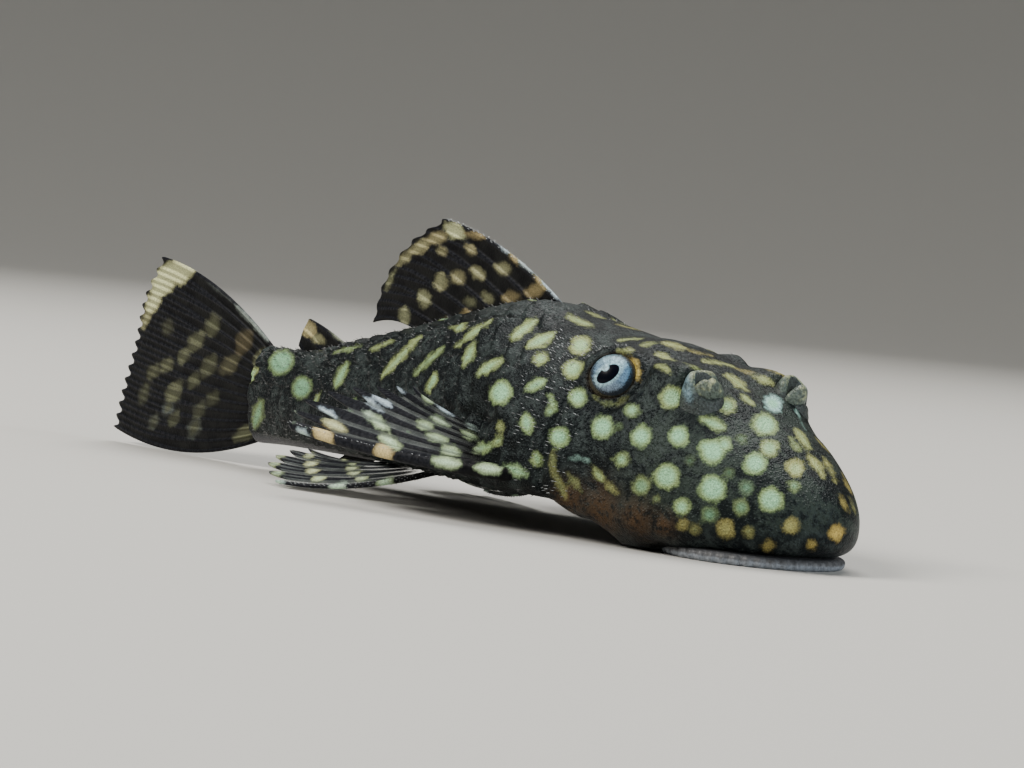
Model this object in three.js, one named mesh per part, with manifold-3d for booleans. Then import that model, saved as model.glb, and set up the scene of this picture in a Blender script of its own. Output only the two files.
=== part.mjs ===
// A young bristlenose pleco resting on its sucker mouth, pelvic fins and tail fin, life size.
// Millimetres, +X towards the snout, +Y the fish's left, +Z up, the floor at Z = 0.
import * as THREE from "three";
import { mergeVertices } from "three/addons/utils/BufferGeometryUtils.js";
import Module from "manifold-3d";

const wasm = await Module();
wasm.setup();

// Driving sizes. A station is a distance behind the tip of the snout.
const STANDARD_LENGTH = 50;
const GAP = 0.3;
const SNOUT_LENGTH = 10.3;
const NOSTRIL_STATION = 7.6;
const EYE_STATION = 12.4;
const GILL_STATION = 15.7;
const SHOULDER_STATION = 17.5;
const DORSAL_START = 22.3;
const DORSAL_END = 34.5;
const TAIL_STATION = 40.6;
const NECK_LEAN = 3.6;
const PEDUNCLE_STATION = 46;

// Height of the back, belly and widest level, and half the width, along the stations.
const BACK = [
  [0, 5.9], [3, 7.1], [NOSTRIL_STATION, 8.95], [EYE_STATION, 10.7], [SHOULDER_STATION, 11.8],
  [DORSAL_START, 12.4], [30, 11.1], [DORSAL_END, 10.0], [TAIL_STATION, 8.7],
  [PEDUNCLE_STATION, 7.6], [STANDARD_LENGTH, 7.6],
];
const BELLY = [
  [0, 0.5], [SNOUT_LENGTH, 0.55], [GILL_STATION, 1.8], [30, 1.9], [PEDUNCLE_STATION, 1.75],
  [STANDARD_LENGTH, 1.6],
];
const WAIST = [[0, 2.3], [SNOUT_LENGTH, 2.9], [SHOULDER_STATION, 3.4], [30, 4.2], [STANDARD_LENGTH, 4.6]];
const HALF_WIDTH = [
  [0, 6.0], [SNOUT_LENGTH, 6.6], [SHOULDER_STATION, 8.1], [DORSAL_START, 7.2], [30, 5.4],
  [TAIL_STATION, 3.1], [PEDUNCLE_STATION, 2.1], [STANDARD_LENGTH, 1.3],
];
const BACK_POWER = [[0, 2], [SNOUT_LENGTH, 2.2], [30, 2], [STANDARD_LENGTH, 2.2]];
const BELLY_POWER = [[0, 3], [SNOUT_LENGTH, 4], [30, 4], [STANDARD_LENGTH, 2.6]];

// Bony plates of the flank: how many along the body, and the angle at which each row starts.
const PLATES = 22;
const PLATE_HEIGHT = 0.3;
const PLATE_HEIGHT_AT_TAIL = 0.16;
const PLATE_ROWS = [84, 60, 37, 14, -14, -48];
const PLATE_STEPS = [[0, 0.05], [0.78, 1]];
const PLATE_SPANS = [0, 0.3, 0.7];
const PLATE_BULGE = 0.4;
const BELLY_ANGLES = [-60, -72, -90];

// Fins: half the thickness of the skin between rays, and how far a ray stands above it.
const WEB = 0.25;
const RAY = 0.17;
const RAY_SPANS = [0, 0.25, 0.5, 0.75];
const RAY_CROWNS = [1, 0.35, 0, 0.35];
const SCALLOP = 0.035;

const EYE_RADIUS = 1.4;
const EYE_CENTRE = [EYE_STATION + 0.5, 4.6, 8.6];
const EYE_AXIS = [0.4, 0.8, 0.45];
const EYE_RIM = { radius: 1.66, thickness: 0.32, out: 0.55 };
const NOSTRIL = { spread: 3.15, lean: [0.35, 0.2, 0.9], height: 0.75, foot: 1.05, top: 0.8, pit: 0.52 };
const NOSTRIL_FLAP = { size: [0.27, 0.75, 0.95], rise: 0.55, ahead: 0.2 };
const MOUTH = { station: 6, radius: 4.85, height: 1.7, lip: 0.7, opening: [1.2, 2.3, 0.9] };
const GILL_COVER = { station: 13.4, spread: 7.2, height: 3.8, size: [1.7, 1.5, 2.2], lean: 25, proud: 0.25 };

const SKIN_COLOUR = 0x22252a;
const FIN_COLOUR = 0x2b2a2c;
const SPOT_COLOUR = 0xb9c19a;
const LIP_COLOUR = 0x8d8f96;
const EYE_COLOUR = 0x9fb2c4;

const radians = THREE.MathUtils.degToRad;
const point = (station, side, height) => new THREE.Vector3(-station, side, height);

// A smooth curve through the table's points that never overshoots them.
function smooth(table, x) {
  const last = table.length - 1;
  const slope = (i) => (table[i + 1][1] - table[i][1]) / (table[i + 1][0] - table[i][0]);
  const tangent = (i) => {
    if (i === 0) return slope(0);
    if (i === last) return slope(last - 1);
    const [before, after] = [slope(i - 1), slope(i)];
    return before * after <= 0 ? 0 : (2 * before * after) / (before + after);
  };
  let i = 0;
  while (i < last - 1 && x > table[i + 1][0]) i += 1;
  const width = table[i + 1][0] - table[i][0];
  const t = THREE.MathUtils.clamp((x - table[i][0]) / width, 0, 1);
  const u = 1 - t;
  return (
    u * u * (1 + 2 * t) * table[i][1] + t * u * u * width * tangent(i) +
    t * t * (3 - 2 * t) * table[i + 1][1] - t * t * u * width * tangent(i + 1)
  );
}

// One point of the body's section at a station. Angle 0 is the fish's left, a quarter turn is its back.
function sectionPoint(station, angle) {
  const ahead = 1 - Math.min(station, SNOUT_LENGTH) / SNOUT_LENGTH;
  const close = Math.sqrt(Math.max(0, 1 - ahead * ahead));
  const waist = smooth(WAIST, station);
  const [c, s] = [Math.cos(angle), Math.sin(angle)];
  const upper = s >= 0;
  const power = 2 / smooth(upper ? BACK_POWER : BELLY_POWER, station);
  const reach = upper
    ? (smooth(BACK, station) - waist) * close ** 0.75
    : (waist - smooth(BELLY, station)) * close ** 0.5;
  const side = smooth(HALF_WIDTH, station) * close * Math.sign(c) * Math.abs(c) ** power;
  return point(station, side, waist + reach * Math.sign(s) * Math.abs(s) ** power);
}

// The same point moved out of the body, square to its section.
function skinPoint(station, angle, lift = 0) {
  const at = sectionPoint(station, angle);
  if (lift === 0) return at;
  const step = 0.02;
  const along = sectionPoint(station, angle + step).sub(sectionPoint(station, angle - step));
  return at.add(new THREE.Vector3(0, along.z, -along.y).normalize().multiplyScalar(lift));
}

// A geometry from points and triangles, turned so that its faces point out.
function surface(points, triangles) {
  const geometry = new THREE.BufferGeometry().setFromPoints(points);
  let volume = 0;
  for (const [a, b, c] of triangles) {
    volume += points[a].dot(new THREE.Vector3().crossVectors(points[b], points[c]));
  }
  const faces = volume < 0 ? triangles.map(([a, b, c]) => [a, c, b]) : triangles;
  geometry.setIndex(faces.flat());
  return geometry;
}

// A closed body through rings of points, with a middle point that closes each end.
function loft(rings) {
  const count = rings[0].length;
  const points = rings.flat();
  const triangles = [];
  for (let i = 0; i < rings.length - 1; i += 1) {
    for (let j = 0; j < count; j += 1) {
      const [a, b] = [i * count + j, i * count + ((j + 1) % count)];
      triangles.push([a, a + count, b + count], [a, b + count, b]);
    }
  }
  const ends = [[rings[0], 0, false], [rings.at(-1), (rings.length - 1) * count, true]];
  for (const [ring, start, turned] of ends) {
    const middle = points.length;
    points.push(ring.reduce((sum, p) => sum.add(p), new THREE.Vector3()).divideScalar(count));
    for (let j = 0; j < count; j += 1) {
      const [a, b] = [start + j, start + ((j + 1) % count)];
      triangles.push(turned ? [middle, b, a] : [middle, a, b]);
    }
  }
  return surface(points, triangles);
}

// A closed thin sheet between two faces, each a grid of points, split alike on both.
function sheet(front, back) {
  const [rows, columns] = [front.length, front[0].length];
  const points = [...front.flat(), ...back.flat()];
  const far = rows * columns;
  const triangles = [];
  for (let i = 0; i < rows - 1; i += 1) {
    for (let j = 0; j < columns - 1; j += 1) {
      const [a, b] = [i * columns + j, (i + 1) * columns + j];
      triangles.push([a, b, b + 1], [a, b + 1, a + 1]);
      triangles.push([far + a, far + b + 1, far + b], [far + a, far + a + 1, far + b + 1]);
    }
  }
  const wall = (a, b) => triangles.push([a, b, far + b], [a, far + b, far + a]);
  for (let i = 0; i < rows - 1; i += 1) {
    wall((i + 1) * columns, i * columns);
    wall(i * columns + columns - 1, (i + 1) * columns + columns - 1);
  }
  for (let j = 0; j < columns - 1; j += 1) {
    wall(j, j + 1);
    wall((rows - 1) * columns + j + 1, (rows - 1) * columns + j);
  }
  return surface(points, triangles);
}

// Between three.js geometry and the solids that can be joined and cut.
function toSolid(geometry) {
  const bare = geometry.clone();
  bare.deleteAttribute("normal");
  bare.deleteAttribute("uv");
  const merged = mergeVertices(bare, 1e-4);
  return new wasm.Manifold(
    new wasm.Mesh({
      numProp: 3,
      vertProperties: new Float32Array(merged.attributes.position.array),
      triVerts: new Uint32Array(merged.index.array),
    }),
  );
}

function toGeometry(solid) {
  const bodies = solid.decompose().sort((a, b) => b.volume() - a.volume());
  const mesh = bodies[0].getMesh();
  const geometry = new THREE.BufferGeometry();
  geometry.setAttribute("position", new THREE.BufferAttribute(mesh.vertProperties, 3));
  geometry.setIndex(new THREE.BufferAttribute(mesh.triVerts, 1));
  return geometry;
}

// What a solid keeps above the floor, so that it rests on flats at one level.
const aboveFloor = (solid) => solid.trimByPlane([0, 0, 1], 0);

// Moves a shape made along +Z to a place on the fish, pointing along an axis.
function placed(geometry, centre, axis) {
  const turn = new THREE.Quaternion().setFromUnitVectors(new THREE.Vector3(0, 0, 1), axis.clone().normalize());
  return geometry.applyQuaternion(turn).translate(centre.x, centre.y, centre.z);
}

// The angles round a section: three to a plate row, and a few across the belly, from back to belly.
function flankColumns() {
  const columns = [{ angle: 90, crown: 0, bulge: 0 }];
  PLATE_ROWS.slice(0, -1).forEach((start, row) => {
    for (const span of PLATE_SPANS) {
      const angle = start + (PLATE_ROWS[row + 1] - start) * span;
      const crown = span === 0 ? 0.1 : 1;
      columns.push({ angle, crown, bulge: (span === 0 ? 0 : PLATE_BULGE) + (row % 2) * 0.5 });
    }
  });
  columns.push({ angle: PLATE_ROWS.at(-1), crown: 0, bulge: 0 });
  BELLY_ANGLES.forEach((angle) => columns.push({ angle, crown: 0, bulge: 0 }));
  return columns;
}

// Both flanks' columns in one turn round the body, without doubling the back and the belly.
function ringColumns() {
  const left = flankColumns();
  const right = left.slice(1, -1).map((column) => ({ ...column, angle: 180 - column.angle }));
  return [...left.reverse(), ...right];
}

// How far the cut between head and trunk lies behind the gill, higher up the section.
const neckLean = (angle) => NECK_LEAN * Math.max(0, Math.sin(angle)) ** 1.5;
const upright = () => 0;

// Plates stand less high towards the tail.
const plateHeight = (station) =>
  smooth([[GILL_STATION, PLATE_HEIGHT], [STANDARD_LENGTH, PLATE_HEIGHT_AT_TAIL]], station);

// Rings of plated body between two cuts. Each plate rises to its rear edge, where the next one starts.
function platedRings(from, to, leanAt) {
  const columns = ringColumns();
  const pitch = (STANDARD_LENGTH - GILL_STATION) / PLATES;
  const count = Math.round((to - from) / pitch);
  const steps = [];
  for (let plate = 0; plate < count; plate += 1) {
    for (const [part, rise] of PLATE_STEPS) steps.push({ share: (plate + part) / count, rise });
  }
  steps[0].rise = 0;
  steps.push({ share: 1, rise: 0 });
  return steps.map(({ share, rise }) =>
    columns.map(({ angle, crown, bulge }) => {
      const turn = radians(angle);
      const start = from + leanAt(turn);
      const inner = share > 0 && share < 1 ? bulge * pitch * Math.min(1, 6 * share, 6 * (1 - share)) : 0;
      const station = Math.min(start + (to - start) * share + inner, to);
      return skinPoint(station, turn, rise * crown * plateHeight(station));
    }),
  );
}

// The head without its eyes and mouth, as smooth rings that close at the snout.
function headRings(to, leanAt, lift = 0) {
  const angles = ringColumns().map(({ angle }) => radians(angle));
  const shares = [0.03, 0.1, 0.2, 0.31, 0.43, 0.55, 0.67, 0.78, 0.88, 1];
  const front = shares.map((share) => SNOUT_LENGTH * (1 - Math.cos((share * Math.PI) / 2)));
  const rings = front.map((station) => angles.map((turn) => skinPoint(station, turn, lift)));
  for (const share of [0.2, 0.4, 0.6, 0.8, 1]) {
    rings.push(
      angles.map((turn) => {
        const end = to + leanAt(turn);
        return skinPoint(SNOUT_LENGTH + (end - SNOUT_LENGTH) * share, turn, lift);
      }),
    );
  }
  return rings;
}

// The whole body a little larger, which cuts the fins' roots so that they meet its skin.
function clearance() {
  const angles = ringColumns().map(({ angle }) => radians(angle));
  const rings = headRings(GILL_STATION, upright, GAP);
  for (let i = 1; i <= PLATES; i += 1) {
    const station = GILL_STATION + ((STANDARD_LENGTH + GAP - GILL_STATION) * i) / PLATES;
    rings.push(angles.map((turn) => skinPoint(station, turn, GAP + plateHeight(station) / 2)));
  }
  return toSolid(loft(rings));
}

// A fin: its rays run from a root curve to a rim curve, bowed between, and stand up as ridges.
function finFaces({ root, rim, bow, rays, spine, steps, side = 1 }) {
  const mirrored = ([station, y, z]) => point(station, y * side, z);
  const rootCurve = new THREE.CatmullRomCurve3(root.map(mirrored));
  const rimCurve = new THREE.CatmullRomCurve3(rim.map(mirrored));
  const bows = bow.map(mirrored);
  const middle = (across, along) => {
    const [foot, tip] = [rootCurve.getPoint(across), rimCurve.getPoint(across)];
    const bend = bows[0].clone().lerp(bows[1], across).multiplyScalar(2 * along * (1 - along));
    return foot.lerp(tip, along).add(bend);
  };
  const square = (across, along) => {
    const d = 0.01;
    const [a0, a1] = [Math.max(0, across - d), Math.min(1, across + d)];
    const [b0, b1] = [Math.max(0, along - d), Math.min(1, along + d)];
    const over = middle(a1, along).sub(middle(a0, along));
    const up = middle(across, b1).sub(middle(across, b0));
    return new THREE.Vector3().crossVectors(over, up).normalize();
  };
  const columns = [];
  for (let ray = 0; ray < rays; ray += 1) {
    RAY_SPANS.forEach((span, k) => columns.push({ across: (ray + span) / rays, crown: RAY_CROWNS[k], ray: ray + span }));
  }
  columns.push({ across: 1, crown: 1, ray: rays });
  const faces = [1, -1].map((face) => {
    const grid = [];
    for (let i = 0; i <= steps; i += 1) {
      grid.push(
        columns.map(({ across, crown, ray }) => {
          const along = (i / steps) * (1 - SCALLOP * (1 - crown));
          const thick = WEB + RAY * crown * (1 - 0.5 * along) + Math.max(0, 1 - ray) * spine * (1 - 0.7 * along);
          return middle(across, along).addScaledVector(square(across, along), face * thick);
        }),
      );
    }
    return grid;
  });
  return sheet(...faces);
}

const DORSAL_FIN = {
  root: [[DORSAL_START, 0, 11.6], [28.4, 0, 10.4], [DORSAL_END - 0.4, 0, 9.2]],
  rim: [[34.1, 0.2, 16.4], [36.9, 0.35, 14.8], [39.0, 0.3, 12.4], [39.9, 0.1, 9.9]],
  bow: [[0, 0, 1.6], [0, 0.3, 1.1]],
  rays: 7, spine: 0.15, steps: 6,
};
const ADIPOSE_FIN = {
  root: [[41.8, 0, 7.9], [44, 0, 7.3], [46.2, 0, 6.9]],
  rim: [[46.4, 0, 9.6], [46.9, 0, 8.8], [47.2, 0, 7.9]],
  bow: [[0, 0, 0.3], [0, 0, 0.2]],
  rays: 2, spine: 0.1, steps: 4,
};
const CAUDAL_FIN = {
  root: [[49.2, 0, 7.1], [49.4, 0, 4.6], [49.4, 0, 2.1]],
  rim: [[62.1, 0.5, 12.4], [63.9, 0.4, 9.6], [64.9, 0.1, 6.7], [66.1, -0.1, 3.8], [66.9, -0.2, 0.95]],
  bow: [[0, 0, 1.9], [0, 0.2, -2.6]],
  rays: 14, spine: 0.15, steps: 6,
};
const ANAL_FIN = {
  root: [[37.2, 0, 2.6], [38.7, 0, 2.5], [40.2, 0, 2.5]],
  rim: [[42.6, 0, 0.45], [43.3, 0.05, 0.75], [42.9, 0, 1.1]],
  bow: [[-0.3, 0, -0.5], [0, 0, -0.2]],
  rays: 4, spine: 0.1, steps: 4,
};
const PECTORAL_FIN = {
  root: [[15.9, 7.7, 3.1], [17.6, 7.3, 3.9], [19.8, 7.0, 4.9]],
  rim: [[32.6, 11.0, 4.0], [33.4, 9.8, 5.2], [31.8, 8.3, 6.2], [29.0, 7.4, 6.6], [26.3, 7.4, 6.9]],
  bow: [[0, 1.0, -0.6], [0, 1.6, 0.2]],
  rays: 7, spine: 0.24, steps: 6,
};
const PELVIC_FIN = {
  root: [[26.6, 4.2, 2.4], [28.6, 3.2, 2.5], [30.4, 2.3, 2.6]],
  rim: [[37.6, 7.9, 0.32], [39.4, 7.2, 0.8], [40.6, 6.2, 1.35], [40.5, 5.2, 1.85], [39.4, 4.4, 2.2]],
  bow: [[0, 0.6, -1.5], [0, 0.6, -1.3]],
  rays: 5, spine: 0.08, steps: 6,
};

function fin(shape, side, body) {
  return aboveFloor(toSolid(finFaces({ ...shape, side })).subtract(body));
}

// The eyeball's middle and the way it looks, on one side of the head.
const eyeCentre = (side) => point(EYE_CENTRE[0], EYE_CENTRE[1] * side, EYE_CENTRE[2]);
const eyeAxis = (side) => new THREE.Vector3(EYE_AXIS[0], EYE_AXIS[1] * side, EYE_AXIS[2]).normalize();

function eyeball(side, radius, detail) {
  const centre = eyeCentre(side);
  return toSolid(placed(new THREE.SphereGeometry(radius, detail, detail / 2), centre, eyeAxis(side)));
}

// The fleshy rim round the eye, most of it sunk in the head.
function eyeRim(side) {
  const { radius, thickness, out } = EYE_RIM;
  const centre = eyeCentre(side).addScaledVector(eyeAxis(side), out);
  return toSolid(placed(new THREE.TorusGeometry(radius, thickness, 6, 18), centre, eyeAxis(side)));
}

// The height of the back at a place beside the middle line.
function backHeight(station, side) {
  let [low, high] = [0, Math.PI / 2];
  for (let i = 0; i < 24; i += 1) {
    const middle = (low + high) / 2;
    if (sectionPoint(station, middle).y > side) low = middle;
    else high = middle;
  }
  return sectionPoint(station, low).z;
}

// A nostril: a low tube with a pit, and the flap of skin that stands across it.
function nostril(side) {
  const { spread, lean, height, foot, top, pit } = NOSTRIL;
  const profile = [
    [0, -foot], [foot, -foot], [foot, 0], [top + 0.05, height * 0.7], [top - 0.1, height],
    [pit, height], [pit * 0.8, height * 0.35], [0, height * 0.25],
  ].map(([r, z]) => new THREE.Vector2(r, z));
  const tube = new THREE.LatheGeometry(profile, 12).rotateX(Math.PI / 2);
  const flap = new THREE.SphereGeometry(1, 12, 8).scale(...NOSTRIL_FLAP.size);
  flap.translate(NOSTRIL_FLAP.ahead, 0, NOSTRIL_FLAP.rise);
  const foothold = point(NOSTRIL_STATION, spread * side, backHeight(NOSTRIL_STATION, spread));
  const axis = new THREE.Vector3(lean[0], lean[1] * side, lean[2]);
  return toSolid(placed(tube, foothold, axis)).add(toSolid(placed(flap, foothold, axis)));
}

// The sucker mouth: a lipped disc that lies on the floor, with the mouth's opening in its middle.
function mouthDisc(grow = 0) {
  const { station, radius, height, lip } = MOUTH;
  const profile = [
    [0, -grow], [radius - 0.3, -grow], [radius + grow, 0.25 - grow], [radius + grow, lip + grow],
    [radius - 0.7 + grow, lip + 0.5 + grow], [radius * 0.55, height + grow], [0, height + grow],
  ].map(([r, z]) => new THREE.Vector2(r, z));
  return toSolid(new THREE.LatheGeometry(profile, 28).rotateX(Math.PI / 2).translate(-station, 0, 0));
}

// The mouth's opening, a wide oval hollow across the middle of the disc.
function mouthOpening() {
  const oval = new THREE.SphereGeometry(1, 16, 10).scale(...MOUTH.opening);
  return toSolid(oval.translate(-MOUTH.station, 0, 0));
}

// A lens that parts a gill cover from the cheek.
function coverLens(side, grow) {
  const { station, spread, height, size, lean } = GILL_COVER;
  const lens = new THREE.SphereGeometry(1, 18, 10).scale(size[0] + grow, size[1] + grow, size[2] + grow);
  return toSolid(lens.rotateY(radians(lean)).translate(-station, spread * side, height));
}

// All the sub-parts as solids, by name.
function buildFish() {
  const body = clearance();
  const solids = {};
  const cheek = toSolid(loft(headRings(GILL_STATION, neckLean, GILL_COVER.proud)));
  let head = toSolid(loft(headRings(GILL_STATION, neckLean)));
  for (const [side, name] of [[-1, "right"], [1, "left"]]) {
    head = head.add(eyeRim(side)).add(nostril(side));
    head = head.subtract(eyeball(side, EYE_RADIUS + GAP, 20)).subtract(coverLens(side, GAP));
    solids[`eye_${name}`] = eyeball(side, EYE_RADIUS, 20);
    solids[`gill_cover_${name}`] = coverLens(side, 0).intersect(cheek);
    solids[`pectoral_fin_${name}`] = fin(PECTORAL_FIN, side, body);
    solids[`pelvic_fin_${name}`] = fin(PELVIC_FIN, side, body);
  }
  solids.head = head.subtract(mouthDisc(GAP));
  solids.mouth = mouthDisc().subtract(mouthOpening());
  solids.trunk = toSolid(loft(platedRings(GILL_STATION + GAP, TAIL_STATION, neckLean)));
  solids.tail_base = toSolid(loft(platedRings(TAIL_STATION + GAP, STANDARD_LENGTH, upright)));
  solids.dorsal_fin = fin(DORSAL_FIN, 1, body);
  solids.adipose_fin = fin(ADIPOSE_FIN, 1, body);
  solids.caudal_fin = fin(CAUDAL_FIN, 1, body);
  solids.anal_fin = fin(ANAL_FIN, 1, body);
  return solids;
}

const finish = (color, roughness) => new THREE.MeshStandardMaterial({ color, roughness, metalness: 0 });
const FINISHES = {
  eye: finish(EYE_COLOUR, 0.15),
  mouth: finish(LIP_COLOUR, 0.6),
  gill: finish(SPOT_COLOUR, 0.6),
  fin: finish(FIN_COLOUR, 0.5),
  skin: finish(SKIN_COLOUR, 0.55),
};

function finishOf(name) {
  if (name.includes("fin")) return FINISHES.fin;
  return FINISHES[name.split("_")[0]] ?? FINISHES.skin;
}

// The fish stands in a group of its own, moved so that its box is centred over the origin.
const fish = new THREE.Group();
for (const [name, solid] of Object.entries(buildFish())) {
  const mesh = new THREE.Mesh(toGeometry(solid), finishOf(name));
  mesh.name = name;
  fish.add(mesh);
}
const box = new THREE.Box3().setFromObject(fish);
const centre = box.getCenter(new THREE.Vector3());
fish.position.set(-centre.x, -centre.y, -box.min.z);

const part = new THREE.Group();
part.add(fish);
export default part;
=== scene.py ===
"""Dresses the packed bristlenose pleco: skin with plates and markings, fins, eyes, nostrils and mouth."""

import math

import bpy
import numpy as np
from mathutils import Matrix, Vector


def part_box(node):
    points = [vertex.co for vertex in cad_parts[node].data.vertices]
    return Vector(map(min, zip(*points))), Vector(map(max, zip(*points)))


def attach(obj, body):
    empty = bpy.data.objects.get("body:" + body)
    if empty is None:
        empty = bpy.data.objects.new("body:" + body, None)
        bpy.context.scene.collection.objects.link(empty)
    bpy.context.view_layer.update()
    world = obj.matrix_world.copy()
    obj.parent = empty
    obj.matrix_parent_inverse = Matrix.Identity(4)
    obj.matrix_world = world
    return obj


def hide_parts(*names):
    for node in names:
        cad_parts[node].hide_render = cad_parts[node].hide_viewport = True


bl_info = {
    "name": "Bristlenose pleco",
    "version": (1, 0, 0),
    "blender": (4, 5, 0),
    "location": "3D View > Sidebar > Pleco",
    "description": "Builds a resting bristlenose pleco round its packed solids",
    "category": "Add Mesh",
}

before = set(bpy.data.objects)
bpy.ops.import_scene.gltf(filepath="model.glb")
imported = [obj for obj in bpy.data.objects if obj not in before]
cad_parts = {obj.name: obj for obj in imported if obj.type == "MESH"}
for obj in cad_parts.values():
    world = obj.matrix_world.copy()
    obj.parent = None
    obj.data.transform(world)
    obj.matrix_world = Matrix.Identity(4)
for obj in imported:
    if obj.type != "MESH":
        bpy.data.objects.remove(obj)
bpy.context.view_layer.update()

# Driving sizes in millimetres, as in the solids. A station is a distance behind the tip of the snout.
MM = 0.001
STANDARD_LENGTH = 50.0
SNOUT_LENGTH = 10.3
NOSTRIL_STATION = 7.6
EYE_STATION = 12.4
GILL_STATION = 15.7
SHOULDER_STATION = 17.5
DORSAL_START = 22.3
DORSAL_END = 34.5
TAIL_STATION = 40.6
PEDUNCLE_STATION = 46.0
NECK_LEAN = 3.6

BACK = [
    (0, 5.9), (3, 7.1), (NOSTRIL_STATION, 8.95), (EYE_STATION, 10.7), (SHOULDER_STATION, 11.8),
    (DORSAL_START, 12.4), (30, 11.1), (DORSAL_END, 10.0), (TAIL_STATION, 8.7), (PEDUNCLE_STATION, 7.6),
    (STANDARD_LENGTH, 7.6),
]
BELLY = [
    (0, 0.5), (SNOUT_LENGTH, 0.55), (GILL_STATION, 1.8), (30, 1.9), (PEDUNCLE_STATION, 1.75),
    (STANDARD_LENGTH, 1.6),
]
WAIST = [(0, 2.3), (SNOUT_LENGTH, 2.9), (SHOULDER_STATION, 3.4), (30, 4.2), (STANDARD_LENGTH, 4.6)]
HALF_WIDTH = [
    (0, 6.0), (SNOUT_LENGTH, 6.6), (SHOULDER_STATION, 8.1), (DORSAL_START, 7.2), (30, 5.4),
    (TAIL_STATION, 3.1), (PEDUNCLE_STATION, 2.1), (STANDARD_LENGTH, 1.3),
]
BACK_POWER = [(0, 2), (SNOUT_LENGTH, 2.2), (30, 2), (STANDARD_LENGTH, 2.2)]
BELLY_POWER = [(0, 3), (SNOUT_LENGTH, 4), (30, 4), (STANDARD_LENGTH, 2.6)]

PLATES = 22
PLATE_PITCH = (STANDARD_LENGTH - GILL_STATION) / PLATES
PLATE_HEIGHT = [(GILL_STATION, 0.3), (STANDARD_LENGTH, 0.16)]
PLATE_ROWS = np.array([84.0, 60.0, 37.0, 14.0, -14.0, -48.0])
PLATE_BULGE = 0.4

EYE_RADIUS = 1.4
CORNEA_BULGE = 0.03
EYE_CENTRE = (EYE_STATION + 0.5, 4.6, 8.6)
EYE_AXIS = (0.4, 0.8, 0.45)
GAZE = (0.74, 0.67, 0.03)
NOSTRIL_SPREAD = 3.15
NOSTRIL_LEAN = (0.35, 0.2, 0.9)
MOUTH_STATION = 6.0
MOUTH_RADIUS = 4.85
LIP_ROLL = 0.3
SKIRT_DROP = 0.34
FLOOR_GAP = 0.02
SKIN_FLOOR_GAP = 0.14
TAIL_ROUNDING = 0.35

# Soft forms of the skin, each with its height in millimetres; a dent's is negative.
NOSTRIL_MOUND = {"height": 0.5, "reach": 1.3}
BROW = {"height": 1.1, "reach": 1.3, "side": 3.1, "spread": 0.7}
NAPE_DENT = -0.5
GILL_GROOVE = {"height": -0.22, "reach": 0.2, "ahead": 0.0}
GILL_SWELLING = {"height": 0.16, "reach": 0.5, "ahead": 0.75}
FINE_LUMPS = {"height": 0.035, "size": 1.1, "seed": 3}
BROAD_LUMPS = {"height": 0.06, "size": 3.5, "seed": 4}
# The same at a station and a height in degrees, each with its reach.
SIDE_FIN_HOLLOW = {"height": -0.5, "station": 20.6, "degrees": 12, "length": 1.3, "turn": 15}
SIDE_FIN_SOCKET = {"height": 0.25, "station": 18.3, "degrees": 8, "length": 0.5, "turn": 17}

# The photograph's camera: azimuth, elevation and roll in degrees, distance and aim in millimetres.
CAMERA = {"azimuth": 49.7, "elevation": 2.0, "roll": -5.7, "distance": 195.0, "aim": (-26.7, 0.0, 7.4)}
IMAGE_WIDTH, IMAGE_HEIGHT = 1024, 768
FOCAL_PIXELS = 3425.0
SENSOR = 36.0

PAIRED_FINS = ("pectoral_fin", "pelvic_fin")
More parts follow.
